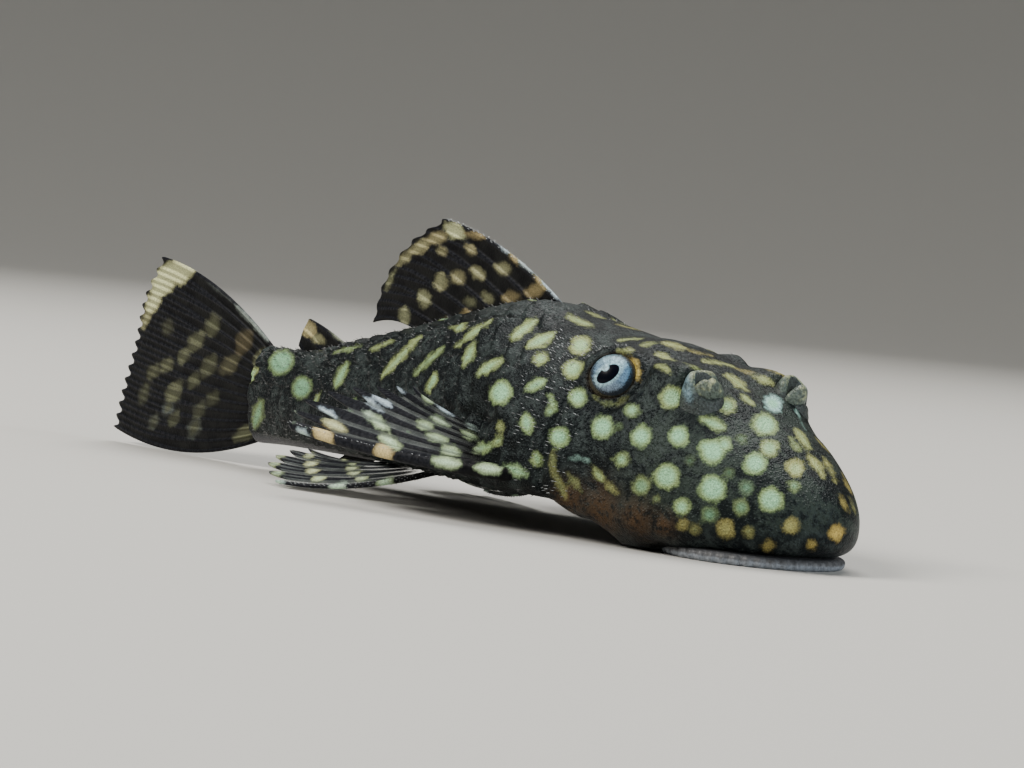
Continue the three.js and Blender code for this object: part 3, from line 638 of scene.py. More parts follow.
def seen_points(pixels, surface):
    """Where rays through the photograph's pixels first meet a cloud of points, and whether they do."""
    place, back, right, up = camera_axes()
    x = (pixels[:, 0] - IMAGE_WIDTH / 2) / FOCAL_PIXELS
    y = (IMAGE_HEIGHT / 2 - pixels[:, 1]) / FOCAL_PIXELS
    rays = unit(-back + x[:, None] * right + y[:, None] * up)
    off = surface - place
    found, hit = [], []
    for ray in rays:
        depth = off @ ray
        gap = np.linalg.norm(off - depth[:, None] * ray, axis=1)
        near = gap < max(NEAR_RAY, gap.min() * 1.2)
        best = np.flatnonzero(near)[np.argmin(depth[near] + 4 * gap[near])]
        found.append(surface[best])
        hit.append(gap[best] < PAST_RAY)
    return np.array(found), np.array(hit)


def read_marks(rows, surface, aligned):
    """Markings on a surface from pixel rows: both ends, radius, warmth and strength, in millimetres.
    Aligned ones stretch along the line of sight, so that they keep the outline seen in the photograph."""
    rows = np.array([r if len(r) == 7 else (r[0], r[1], *r) for r in rows], float)
    place, back, _, _ = camera_axes()
    starts, first = seen_points(rows[:, 0:2], surface)
    ends, second = seen_points(rows[:, 2:4], surface)
    depth = (place - (starts + ends) / 2) @ back
    radius = rows[:, 4] * depth / FOCAL_PIXELS
    kept = first & second
    line = unit(place - (starts + ends) / 2) * float(aligned)
    return {
        "start": starts[kept], "end": ends[kept], "radius": radius[kept],
        "warm": rows[kept, 5], "strength": rows[kept, 6], "line": line[kept],
    }


def joined(*groups):
    """Several groups of markings as one."""
    return {key: np.concatenate([g[key] for g in groups]) for key in groups[0]}


def mirrored(marks, seed):
    """The markings of the other flank, each moved and resized a little, as no two flanks are alike."""
    random = np.random.default_rng(seed)
    count = len(marks["radius"])
    move = random.normal(size=(count, 3)) * 0.25
    grown = marks["radius"] * random.uniform(0.88, 1.1, count)
    return {
        **marks, "start": marks["start"] * FLIP + move, "end": marks["end"] * FLIP + move,
        "radius": grown, "line": marks["line"] * FLIP,
    }


def scattered(surface, taken, pitch, seed):
    """Round spots dropped at random on a surface, none nearer to another marking than the pitch."""
    random = np.random.default_rng(seed)
    centres = [*((taken["start"] + taken["end"]) / 2), *taken["start"], *taken["end"]]
    count = len(centres)
    for candidate in random.permutation(surface):
        gap = np.linalg.norm(np.array(centres) - candidate, axis=1)
        if gap.min() > pitch * random.uniform(0.86, 1.1):
            centres.append(candidate)
    spots = np.array(centres[count:])
    size = random.uniform(0.42, 0.68, len(spots)) * np.where(spots[:, 0] < -TAIL_STATION, 0.8, 1)
    lean = np.stack([size * 0.8, 0 * size, size * 0.6], -1) * step(24, 34, -spots[:, 0])[:, None]
    return {
        "start": spots - lean, "end": spots + lean, "radius": size,
        "warm": random.uniform(0, 0.4, len(spots)), "strength": random.uniform(0.75, 1, len(spots)),
        "line": np.zeros_like(spots),
    }


def mark_fields(points, marks):
    """For each point, as attributes: millimetres to the nearest marking's edge, its warmth and strength."""
    best = np.full(len(points), 9.0)
    which = np.zeros(len(points), int)
    shapes = zip(marks["start"], marks["end"], marks["radius"], marks["line"])
    for n, (start, end, radius, line) in enumerate(shapes):
        off, run = points - start, end - start
        off = off - (1 - SIGHT_STRETCH) * (off @ line)[:, None] * line
        run = run - (1 - SIGHT_STRETCH) * (run @ line) * line
        share = np.clip(off @ run / max(run @ run, 1e-9), 0, 1)
        taper = 1 - MARK_TAPER * (2 * share - 1) ** 2 * min(np.sqrt(run @ run) / (2 * radius), 1)
        gap = np.linalg.norm(off - share[:, None] * run, axis=1) - radius * taper * MARK_WIDTH
        closer = gap < best
        best[closer] = gap[closer]
        which[closer] = n
    warm, strength = marks["warm"][which], marks["strength"][which]
    return {"mark_gap": best, "mark_warm": warm, "mark_strength": strength}


# Materials

class Shader:
    """One node tree and short ways to fill it."""

    def __init__(self, tree):
        self.tree = tree

    def node(self, kind, inputs=None, **settings):
        """A node with its settings, and its inputs set to values or linked to sockets."""
        made = self.tree.nodes.new(kind)
        for key, value in settings.items():
            setattr(made, key, value)
        for key, value in (inputs or {}).items():
            self.put(made.inputs[key], value)
        return made

    def put(self, socket, value):
        """Links a socket to an output, or sets its value."""
        if isinstance(value, bpy.types.NodeSocket):
            self.tree.links.new(value, socket)
        elif value is not None:
            socket.default_value = value

    def math(self, operation, a, b=0.0):
        """One step of arithmetic."""
        return self.node("ShaderNodeMath", {0: a, 1: b}, operation=operation).outputs[0]

    def times(self, a, b):
        return self.math("MULTIPLY", a, b)

    def add(self, a, b, share=1.0):
        """a plus a share of b."""
        return self.math("ADD", a, b if share == 1.0 else self.times(b, share))

    def less(self, a, b):
        return self.math("SUBTRACT", a, b)

    def squares(self, a, b):
        """The sum of two squares."""
        return self.add(self.math("POWER", a, 2.0), self.math("POWER", b, 2.0))

    def ramp(self, value, low, high, to_low=0.0, to_high=1.0):
        """A value carried smoothly from one range to another, clamped."""
        inputs = {"Value": value, "From Min": low, "From Max": high, "To Min": to_low, "To Max": to_high}
        return self.node("ShaderNodeMapRange", inputs, interpolation_type="SMOOTHSTEP").outputs[0]

    def mix(self, share, a, b, mode="MIX"):
        """A colour between two, by a share."""
        inputs = {0: share, 6: a, 7: b}
        return self.node("ShaderNodeMix", inputs, data_type="RGBA", blend_type=mode).outputs[2]

    def shade(self, colour, value):
        """A colour multiplied by a value."""
        grey = self.node("ShaderNodeCombineColor", {0: value, 1: value, 2: value}).outputs[0]
        return self.mix(1.0, colour, grey, "MULTIPLY")

    def noise(self, where, scale, detail=3.0, roughness=0.5):
        inputs = {"Vector": where, "Scale": scale, "Detail": detail, "Roughness": roughness}
        return self.node("ShaderNodeTexNoise", inputs).outputs[0]

    def attribute(self, name):
        return self.node("ShaderNodeAttribute", attribute_name=name).outputs["Fac"]

    def place(self):
        """The object's own coordinates, in metres."""
        return self.node("ShaderNodeTexCoord").outputs["Object"]

    def group(self, tree, inputs):
        """A shared group's outputs."""
        return self.node("ShaderNodeGroup", inputs, node_tree=tree).outputs

    def marks(self, where, look, green, core, ragged=0.26):
        """The outputs of the pale markings, from the attributes of the piece."""
        return self.group(marking_group(), {
            "Position": where, "Distance": self.attribute("mark_gap"),
            "Warmth": self.attribute("mark_warm"), "Strength": self.attribute("mark_strength"),
            "Ragged": ragged, "Green": rgba(green), "Orange": rgba(look.orange),
            "White": rgba(look.white), "Core": rgba(core),
        })

    def roughen(self, surface, height, strength, depth):
        """Lays a height on the surface as fine bumps, their depth in metres."""
        bump = self.node("ShaderNodeBump", {"Strength": strength, "Distance": depth, "Height": height})
        self.put(surface.inputs["Normal"], bump.outputs[0])


def shared_group(name, inputs, outputs):
    """An empty shader group with named sockets: the shader to fill it, its inputs and its outputs."""
    tree = bpy.data.node_groups.new(name, "ShaderNodeTree")
    for label, kind, default in inputs:
        socket = tree.interface.new_socket(label, in_out="INPUT", socket_type=kind)
        if default is not None:
            socket.default_value = default
    for label, kind in outputs:
        tree.interface.new_socket(label, in_out="OUTPUT", socket_type=kind)
    shader = Shader(tree)
    given = shader.node("NodeGroupInput").outputs
    out = shader.node("NodeGroupOutput").inputs
    return shader, given, out


def marking_group():
    """Crumbly-edged pale markings: a mask and a colour from distance, warmth and strength."""
    if "pale markings" in bpy.data.node_groups:
        return bpy.data.node_groups["pale markings"]
    s, given, out = shared_group(
        "pale markings",
        [
            ("Position", "NodeSocketVector", None), ("Distance", "NodeSocketFloat", 1.0),
            ("Warmth", "NodeSocketFloat", 0.0), ("Strength", "NodeSocketFloat", 1.0),
            ("Ragged", "NodeSocketFloat", 0.26), ("Soft", "NodeSocketFloat", 0.17),
            ("Green", "NodeSocketColor", (0.4, 0.45, 0.26, 1)),
            ("Orange", "NodeSocketColor", (0.5, 0.27, 0.1, 1)),
            ("White", "NodeSocketColor", (0.45, 0.58, 0.68, 1)),
            ("Core", "NodeSocketColor", (0.42, 0.56, 0.45, 1)),
        ],
        [("Mask", "NodeSocketFloat"), ("Color", "NodeSocketColor")],
    )
    where, distance, warmth = given["Position"], given["Distance"], given["Warmth"]
    broad = s.noise(where, 1150, 1)
    coarse = s.noise(where, 2300, 2)
    fine = s.noise(where, 8500, 2)
    wobble = s.add(s.less(s.add(coarse, fine), 1.0), s.less(broad, 0.5), 1.25)
    moved = s.add(distance, s.times(wobble, given["Ragged"]))
    mask = s.ramp(s.math("DIVIDE", s.less(0.0, moved), given["Soft"]), -0.6, 1.2)
    grain = s.ramp(s.noise(where, 12000, 3, 0.7), 0.34, 0.64, 0.62, 1.15)
    heart = s.times(s.ramp(distance, -0.08, -0.42), s.ramp(warmth, 0.75, 0.0, 0.0, 0.85))
    middle = s.ramp(distance, -0.5, 0.0, 1.1, 0.7)
    warm = s.mix(s.ramp(warmth, 0, 1), given["Green"], given["Orange"])
    cool = s.mix(s.ramp(warmth, 0, -0.9), warm, given["White"])
    colour = s.shade(s.mix(heart, cool, given["Core"]), s.times(grain, middle))
    s.put(out["Mask"], s.times(mask, given["Strength"]))
    s.put(out["Color"], colour)
    return s.tree


def grain_group():
    """The height of fine grains and soft pores, from 0 to about 1, on a position."""
    if "skin grain" in bpy.data.node_groups:
        return bpy.data.node_groups["skin grain"]
    s, given, out = shared_group(
        "skin grain",
        [("Position", "NodeSocketVector", None), ("Grain size", "NodeSocketFloat", 0.00016)],
        [("Height", "NodeSocketFloat")],
    )
    where = given["Position"]
    scale = s.math("DIVIDE", 1.0, given["Grain size"])
    cells = s.node("ShaderNodeTexVoronoi", {"Vector": where, "Scale": scale}).outputs["Distance"]
    domes = s.ramp(cells, 0.0, 0.6, 1.0, 0.0)
    folds = s.noise(where, 3600, 3, 0.6)
    dust = s.noise(where, 19000, 2, 0.6)
    s.put(out["Height"], s.add(s.add(s.times(domes, 0.55), folds, 0.7), dust, 0.3))
    return s.tree


def new_material(name, roughness, specular=0.5, coat=0.0):
    """A material with its shader maker and its surface node."""
    made = bpy.data.materials.new(name)
    made.use_nodes = True
    made.node_tree.nodes.clear()
    s = Shader(made.node_tree)
    surface = s.node("ShaderNodeBsdfPrincipled")
    surface.inputs["Roughness"].default_value = roughness
    surface.inputs["Specular IOR Level"].default_value = specular
    surface.inputs["Coat Weight"].default_value = coat
    s.node("ShaderNodeOutputMaterial", {"Surface": surface.outputs[0]})
    return made, s, surface


def rgba(colour):
    return (*colour[:3], 1.0)


def skin_material(look):
    """Blue-black skin with grey mottling, pale crumbly spots, a paler belly, a brownish flush below and
    painted shade in the creases.
    """
    made, s, surface = new_material("skin", look.roughness, 0.13)
    surface.inputs["Specular Tint"].default_value = (0.8, 0.95, 0.96, 1)
    where = s.place()
    patches = s.noise(where, 480, 4, 0.6)
    net = s.noise(where, 2600, 3, 0.65)
    flecks = s.noise(where, 7500, 2, 0.6)
    mottle = s.add(s.add(s.times(patches, 0.8), net, 0.75), flecks, 0.4)
    clear = s.ramp(s.add(s.attribute("mark_gap"), net, 0.3), 0.22, 0.62, 0.12, 1.0)
    share = s.times(s.ramp(mottle, 0.88, 1.1), clear)
    base = s.mix(share, rgba(look.dark), rgba(look.mottle))
    cloudy = s.ramp(s.add(s.times(patches, 0.5), net, 0.5), 0.44, 0.57, 0.1, 0.95)
    base = s.mix(s.times(s.attribute("snout"), cloudy), base, rgba(look.snout))
    base = s.mix(s.attribute("belly"), base, rgba(look.belly))
    blotch = s.times(s.attribute("flush"), s.ramp(net, 0.36, 0.56, 0.15, 1.0))
    base = s.mix(blotch, base, rgba(look.flush))
    # Painted shade in the creases: behind plate edges, round the eyes and behind the side fins' bases.
    base = s.shade(base, s.ramp(s.attribute("crease"), 0.0, 1.0, 1.0, 0.12))
    marks = s.marks(where, look, look.green, look.core)
    s.put(surface.inputs["Base Color"], s.mix(marks["Mask"], base, marks["Color"]))
    s.roughen(surface, s.group(grain_group(), {"Position": where})["Height"], 0.9, 0.00008)
    return made


def spine_material(look):
    """Glassy pale prickles, their pale tips partly their own colour and partly painted glints."""
    if "prickles" in bpy.data.materials:
        return bpy.data.materials["prickles"]
    made, s, surface = new_material("prickles", 0.25, coat=0.4)
    tone = s.mix(s.ramp(s.attribute("tip"), 0.0, 0.8), rgba(look.prickle_root), rgba(look.prickle))
    s.put(surface.inputs["Base Color"], tone)
    return made


def fin_material(name, look, clear, dark_web, pale_web, band, core, sunk):
    """Dark branching rays with pale bands on a smoky web that lets some light through, with painted shade
    near the root; sunk is how far along the fin its web comes out of the skin."""
    made, s, surface = new_material(name, 0.45, 0.07)
    where = s.place()
    flecks = s.noise(where, 6200, 3, 0.6)
    cloud = s.noise(where, 900, 3, 0.6)
    ray, along = s.attribute("ray"), s.attribute("along")
    web = s.mix(s.ramp(cloud, 0.35, 0.65), rgba(dark_web), rgba(pale_web))
    bone = s.mix(s.ramp(flecks, 0.35, 0.65), rgba(look.ray), rgba(look.ray_pale))
    base = s.mix(s.ramp(ray, 0.15, 0.55), web, bone)
    # Painted shade: each fin is darker near its root, where it meets the body.
    base = s.shade(base, s.ramp(along, sunk, sunk + 0.22, 0.2, 1.0))
    marks = s.marks(where, look, band, core, 0.22)
    kept = s.times(marks["Mask"], s.ramp(ray, 0.0, 0.55, 0.5, 1.0))
    s.put(surface.inputs["Base Color"], s.mix(kept, base, marks["Color"]))
    veil = s.math("MAXIMUM", s.ramp(ray, 0.05, 0.5, clear, 1.0), s.times(kept, 1.4))
    veil = s.math("MINIMUM", veil, 1.0)
    if sunk:
        spine = s.ramp(s.attribute("across"), 0.02, 0.05, 1.0, 0.0)
        free = s.math("MAXIMUM", s.ramp(along, sunk * 0.6, sunk * 1.5), spine)
        veil = s.times(veil, free)
    s.put(surface.inputs["Alpha"], veil)
    joints = s.math("SINE", s.times(s.attribute("run"), 22.0))
    height = s.add(s.times(s.times(joints, ray), 0.25), flecks)
    s.roughen(surface, height, 0.7, 0.00004)
    return made


def eye_material(look):
    """A wet eye: speckled pale iris with a dark rim, a bean-shaped pupil and a thin ring of skin."""
    made, s, surface = new_material("eyes", 0.3, 0.06, 0.04)
    surface.inputs["Coat Roughness"].default_value = 0.06
    flat = s.node("ShaderNodeUVMap", uv_map="iris").outputs[0]
    right, up = s.node("ShaderNodeSeparateXYZ", {0: flat}).outputs[:2]

    def from_place(place):
        """Right and up from a place in the eye."""
        return s.less(right, place[0] / IRIS_UNIT), s.less(up, place[1] / IRIS_UNIT)

    speck = s.noise(s.place(), 11000, 3, 0.65)
    tilt = math.radians(look.pupil_tilt)
    x, y = from_place(look.pupil_place)
    along = s.add(s.times(x, math.cos(tilt)), y, math.sin(tilt))
    across = s.less(s.times(y, math.cos(tilt)), s.times(x, math.sin(tilt)))
    long_ = s.math("ABSOLUTE", s.math("DIVIDE", along, look.pupil_size[0] / IRIS_UNIT))
    wide = s.math("ABSOLUTE", s.math("DIVIDE", across, look.pupil_size[1] / IRIS_UNIT))
    oval = s.squares(long_, wide)
    gap = s.math("SQRT", s.squares(*from_place(look.notch_place)))
    size = look.notch_size / IRIS_UNIT
    notch = s.ramp(gap, size * 0.85, size * 1.15, 1.0, 0.0)
    pupil = s.times(s.ramp(oval, 0.92, 1.1, 1.0, 0.0), s.less(1.0, notch))
    u, v = from_place(look.iris_place)
    out = s.math("SQRT", s.squares(u, v))
    turn = s.math("ARCTAN2", y, x)
    polar = s.node("ShaderNodeCombineXYZ", {0: s.times(turn, 0.9), 1: out}).outputs[0]
    spokes = s.noise(polar, 7.0, 3, 0.7)
    ragged = s.add(out, s.less(speck, 0.5), 0.085)
    ragged = s.add(ragged, s.ramp(s.less(u, v), 0.05, 0.13, 0.0, 0.016))
    tone = s.mix(s.ramp(u, 0.02, 0.1), rgba(look.iris), rgba(look.iris_blue))
    tone = s.mix(s.ramp(v, 0.0, -0.09, 0.0, 0.8), tone, rgba(look.iris_low))
    tone = s.mix(s.ramp(oval, 2.6, 1.1, 0.0, 0.75), tone, rgba(look.iris_halo))
    tone = s.mix(s.ramp(v, 0.02, 0.09, 0.0, 0.65), tone, rgba(look.iris_halo))
    streaks = s.times(s.ramp(spokes, 0.35, 0.65, 0.6, 1.14), s.ramp(speck, 0.33, 0.62, 0.55, 1.12))
    tone = s.mix(s.ramp(ragged, 0.09, 0.108, 0.0, 0.95), s.shade(tone, streaks), rgba(look.iris_rim))
    lid = s.shade(rgba(look.ring), s.ramp(speck, 0.38, 0.6, 0.3, 1.2))
    tone = s.mix(s.ramp(out, 0.108, 0.118), tone, lid)
    s.put(surface.inputs["Base Color"], s.mix(pupil, tone, rgba(look.pupil)))
    return made


def lip_material(look):
    """Soft wet lip, paler towards its lower edge, with fine bumps."""
    made, s, surface = new_material("lips", 0.6, coat=0.08)
    where = s.place()
    flecks = s.noise(where, 5200, 3, 0.6)
    share = s.add(s.attribute("edge"), s.less(flecks, 0.5), 0.5)
    tone = s.mix(s.ramp(share, 0.0, 1.0), rgba(look.lip), rgba(look.lip_edge))
    s.put(surface.inputs["Base Color"], s.shade(tone, s.ramp(flecks, 0.3, 0.7, 0.6, 1.15)))
    grain = s.group(grain_group(), {"Position": where, "Grain size": 0.0002})
    s.roughen(surface, grain["Height"], 0.7, 0.00004)
    return made


def nostril_material(look):
    """Grey-olive wet skin with a bluish outer wall, a yellowish top to the flap and dark flecks."""
    made, s, surface = new_material("nostrils", 0.4, 0.25)
    where = s.place()
    net = s.noise(where, 2600, 3, 0.65)
    flecks = s.noise(where, 7500, 2, 0.6)
    rise = s.attribute("rise")
    tone = s.mix(s.ramp(rise, 0.1, 0.3), rgba(look.nostril), rgba(look.nostril_low))
    lump = s.add(rise, s.less(net, 0.5), 2.0)
    tone = s.mix(s.ramp(lump, 0.5, 1.05), tone, rgba(look.nostril_flap))
    cool = s.times(s.attribute("cool"), s.ramp(net, 0.34, 0.58, 0.35, 1.0))
    tone = s.mix(cool, tone, rgba(look.nostril_rear))
    tone = s.mix(s.times(s.attribute("pit"), 0.65), tone, rgba(look.pit))
    s.put(surface.inputs["Base Color"], s.shade(tone, s.ramp(flecks, 0.32, 0.62, 0.45, 1.15)))
    grain = s.group(grain_group(), {"Position": where, "Grain size": 0.00014})
    s.roughen(surface, grain["Height"], 0.8, 0.00006)
    return made


# Pieces

def skin_grid():
    """Stations and angles of the skin's grid: closer together over the snout, equal steps behind it."""
    snout = SNOUT_LENGTH * (1 - np.cos(np.linspace(0, np.pi / 2, SNOUT_ROWS + 1)[1:]))
    rear = np.linspace(SNOUT_LENGTH, STANDARD_LENGTH, REAR_ROWS + 1)[1:]
    return np.meshgrid(np.concatenate([snout, rear]), column_angles(SKIN_COLUMNS), indexing="ij")


def rounded_end(rings, count, depth):
    """Rings that close the last one with a quarter round of the given depth."""
    last = rings[-1]
    middle = last.mean(0)
    turn = np.linspace(0, np.pi / 2, count + 1)[1:, None, None]
    shrunk = middle + (last - middle) * np.maximum(np.cos(turn), 0.05)
    return shrunk + np.array([-depth, 0, 0]) * np.sin(turn)


def from_eye(points, side):
    """Distances of points out along an eye's axis and away from it, and that axis."""
    centre, axis = eye_frame(side)
    off = points - centre
    out = off @ axis
    return out, np.linalg.norm(off - out[..., None] * axis, axis=-1), axis


def eye_socket(points, side):
    """Draws the skin round an eye into a raised rim: its height along the eye's axis follows a profile of
    the distance from that axis, and fades into the head outside."""
    out, away, axis = from_eye(points, side)
    profile = np.interp(away, *zip(*RIM_PROFILE))
    share = step(RIM_FADE[1], RIM_FADE[0], away) * step(-1.5, -0.6, out)
    return points + (share * (profile - out))[..., None] * axis, share * step(1.5, 1.2, away)


def lip_skirt(points, station):
    """Draws the head's lower edge down round the mouth's disc and folds it up inside the disc."""
    height = points[..., 2]
    height = height - SKIRT_DROP * step(2.2, 0.6, height) * step(12.5, 10.5, station)
    from_mouth = np.hypot(points[..., 0] + MOUTH_STATION, points[..., 1])
    inside = step(MOUTH_RADIUS - 0.25, MOUTH_RADIUS - 0.75, from_mouth) * (points[..., 2] < 1.5)
    height = np.maximum(height, np.maximum(inside, SKIN_FLOOR_GAP))
    return np.concatenate([points[..., :2], height[..., None]], -1)


def skin_points(look):
    """The whole skin in the fish's coordinates, with its stations, angles and shading masks."""
    station, angle = skin_grid()
    points, plates = skin_surface(station, angle, look.plate_scale)
    socket = np.zeros_like(station)
    for side in (-1, 1):
        points, inner = eye_socket(points, side)
        socket = np.maximum(socket, inner)
    points = lip_skirt(points, station)
    degrees = fold(angle)
    _, across, along, _ = plate_place(station, angle)
    on_plates = (plates > 0.02).astype(float)
    # Painted shade: darker just behind each plate's raised rear edge and along the seams between rows.
    rear, side_edge = step(0.1, 0.0, along), step(0.07, 0.0, np.minimum(across, 1 - across))
    plate_edge_shade = on_plates * np.maximum(rear * 0.8, side_edge)
    masks = {
        "snout": step(11.5, 7, station) * step(-20, 10, degrees),
        "belly": step(-42, -62, degrees) * step(8, 13, station),
        # Painted shade in the creases, with a little round each eye.
        "crease": np.clip(plate_edge_shade + 0.1 * socket, 0, 1),
        "lid": 0.5 * socket,
    }
    return station, angle, points, masks


def surface_normals(points):
    """Normals of a grid that is closed round its columns."""
    along = np.gradient(points, axis=0)
    round_ = np.roll(points, -1, axis=1) - np.roll(points, 1, axis=1)
    return unit(np.cross(along, round_))


def faces_camera(points, normals):
    """How squarely each point faces the photograph's camera, from -1 to 1."""
    place = camera_axes()[0]
    return (unit(place - points) * normals).sum(-1)


def body_marks(points, normals):
    """All markings of the skin: those read from the photograph, their like on the unseen flank, and
    scattered ones where the photograph shows nothing, tried at every few points of the grid."""
    cloud = points.reshape(-1, 3)
    facing = faces_camera(points, normals).ravel()
    read = read_marks(HEAD_SPOTS + BODY_BARS_AND_GLINT, cloud[facing > 0], True)
    other = mirrored(read, SEED)
    middles = (other["start"] + other["end"]) / 2
    unseen = np.array([facing[np.argmin(np.linalg.norm(cloud - m, axis=1))] < 0.02 for m in middles])
    other = {key: value[unseen] for key, value in other.items()}
    both = joined(read, other)
    above_belly = cloud[:, 2] > smooth(BELLY, -cloud[:, 0]) + SPOT_GAP
    tried = cloud[(facing < -0.05) & above_belly & (cloud[:, 0] < -3)][::37]
    near = np.array([np.linalg.norm(read["start"] - c, axis=1).min() for c in tried * FLIP])
    return joined(both, scattered(tried[near > SPOT_GAP], both, SPOT_PITCH, SEED + 1))


def soft_mask(points, pixels):
    """Soft patches round places read from the photograph, on both sides."""
    rows = [(x, y, x, y, r, 0, 1) for x, y, r in pixels]
    places = read_marks(rows, points.reshape(-1, 3), False)
    total = np.zeros(points.shape[:2])
    for centre, radius in zip(places["start"], places["radius"]):
        for side in (1, -1):
            gap = np.linalg.norm(points - centre * (1, side, 1), axis=-1)
            total = np.maximum(total, bell(gap, radius))
    return total


def prickle_patches(places):
    """The map of prickles: each a small patch at its root's place on the unwrapped piece."""
    corners = np.array([(0, 0), (1, 0), (0.5, 1), (0.5, 0.4)]) * PATCH
    return "OFBake", (places[:, None] + corners).reshape(-1, 2)


def prickle_mesh(roots, leans, lengths, radius):
    """Three-sided cones on roots, each leaning its own way. Returns points, faces and 1 at the tips."""
    helper = np.where(np.abs(leans[:, 2:]) < 0.9, [[0.0, 0.0, 1.0]], [[1.0, 0.0, 0.0]])
    right = unit(np.cross(helper, leans))
    up = np.cross(leans, right)
    corners = []
    for turn in np.radians((0, 120, 240)):
        corners.append(roots + radius[:, None] * (np.cos(turn) * right + np.sin(turn) * up))
    points = np.stack([*corners, roots + leans * lengths[:, None]], 1)
    base = np.arange(len(roots))[:, None] * 4
    faces = [base + np.array([pattern]) for pattern in ((0, 1, 3), (1, 2, 3), (2, 0, 3), (2, 1, 0))]
    tips = np.tile([0.0, 0.0, 0.0, 1.0], len(roots))
    return points.reshape(-1, 3), faces, tips


def plate_prickles(look):
    """Prickles along the rear edge of every plate and along the keels, then scattered over nape and cheeks.
    Returns stations, angles, relative lengths and how pale each is, partly as painted glints."""
    random = np.random.default_rng(SEED + 2)
    count = look.prickles_per_plate
    parts = []
    for row in range(len(PLATE_ROWS) - 1):
        top, low = PLATE_ROWS[row], PLATE_ROWS[row + 1]
        for n in range(-1, PLATES + 1):
            across = (np.arange(count) + random.uniform(0.2, 0.8, count)) / count
            degrees = top + (low - top) * across
            edge = plate_start(degrees) + (n + 1 + plate_shift(row, across)) * PLATE_PITCH
            for back, likely, share in PRICKLE_LINES:
                chosen = random.uniform(size=count) < likely
                place = edge - back * PLATE_PITCH * random.uniform(0.8, 1.2, count)
                kept = chosen & (place > plate_start(degrees) + 0.1) & (place < STANDARD_LENGTH - 0.2)
                size = random.uniform(0.6, 1.1, kept.sum()) * share
                # Paleness of the tips: partly the prickles' own colour, partly painted glints.
                shade = random.uniform(0.0, 0.6, kept.sum()) ** 2 * 1.6
                parts.append((place[kept], degrees[kept], size, shade))
    (front, low), (rear, high) = NAPE_PRICKLES
    nape = random.uniform([front, low], [rear, high], (look.prickles_on_nape, 2))
    nape = nape[nape[:, 0] < plate_start(nape[:, 1]) + 0.3]
    # The nape's prickles are paler: painted glints where the light catches them.
    size, shade = random.uniform(0.5, 1.0, len(nape)), random.uniform(0.2, 1.0, len(nape))
    parts.append((nape[:, 0], nape[:, 1], size, shade))
    station, degrees, size, shade = (np.concatenate(part) for part in zip(*parts))
    left = np.radians(degrees)
    angle = np.concatenate([left, np.pi - left])
    return np.tile(station, 2), angle, np.tile(size, 2), np.tile(shade, 2)


def nearest_on_grid(station, angle, grid_station, grid_angle):
    """Rows and columns of the skin's grid next to the given stations and angles."""
    rows = np.clip(np.searchsorted(grid_station[:, 0], station), 0, len(grid_station) - 1)
    return rows, np.searchsorted(grid_angle[0], angle % (2 * np.pi)) % grid_angle.shape[1]


def between(pair, share):
    """A straight change from the first of a pair to the second."""
    return pair[0] + (pair[1] - pair[0]) * share


def fin_sheet(spec, side, rows, per_ray, web, ray_size):
    """A fin's middle surface: rays fan from root curve to rim curve along parabolas, each ray splits in two
    past its middle, and half the thickness is the web's plus a round crown on every ray. Returns points,
    normals, offsets by half the thickness, crowns, and shares along and across."""
    rays = spec["rays"]
    across = np.linspace(0, 1, rays * per_ray + 1)[None, :]
    share = np.linspace(0, 1, rows)[:, None]
    ray = np.round(across * rays)
    off = np.abs(across * rays - ray)
    single = (np.cos(np.pi * np.clip(off / 0.5, 0, 1)) * 0.5 + 0.5) ** 1.5
    along = share * (1 - spec["scallop"] * (1 - single))
    split = spec["split"] * step(0.38, 0.85, along) * (ray > 0)
    crown = bell(off - split, between(spec["ray_width"], along))
    root = curve(spec["root"], across[0])[None]
    rim = curve(spec["rim"], across[0])[None]
    bow = between(np.array(spec["bow"], float), across[..., None])
    t = along[..., None]
    middle = (root + (rim - root) * t + bow * 2 * t * (1 - t)) * (-1, side, 1)
    down = np.gradient(middle, axis=0)
    over = np.gradient(middle, axis=1)
    normal = unit(np.cross(down, over))
    half = web + ray_size * crown * (1 - 0.75 * along)
    lift = half[..., None] * normal
    return middle, normal, lift, crown, along, np.broadcast_to(across, along.shape)


def tube_along(path, radii, flat_to, flatness):
    """Rings round a path: full radius across flat_to, flatness times it along flat_to."""
    run = unit(np.gradient(path, axis=0))
    over = unit(flat_to - (flat_to * run).sum(-1, keepdims=True) * run)
    wide = np.cross(run, over)
    turn = (np.arange(TUBE_SIDES) / TUBE_SIDES * 2 * np.pi)[None, :, None]
    ring = np.cos(turn) * over[:, None] * flatness - np.sin(turn) * wide[:, None]
    return path[:, None] + radii[:, None, None] * ring


def above_floor(points):
    """The same points with none nearer to the floor than the fins' gap."""
    return np.concatenate([points[:, :2], np.maximum(points[:, 2:], FLOOR_GAP)], -1)


def fin_sides(name):
    """Sides and name endings of a fin: both for a paired one, else the right side and no ending."""
    return [(-1, "_right"), (1, "_left")] if name in PAIRED_FINS else [(-1, "")]


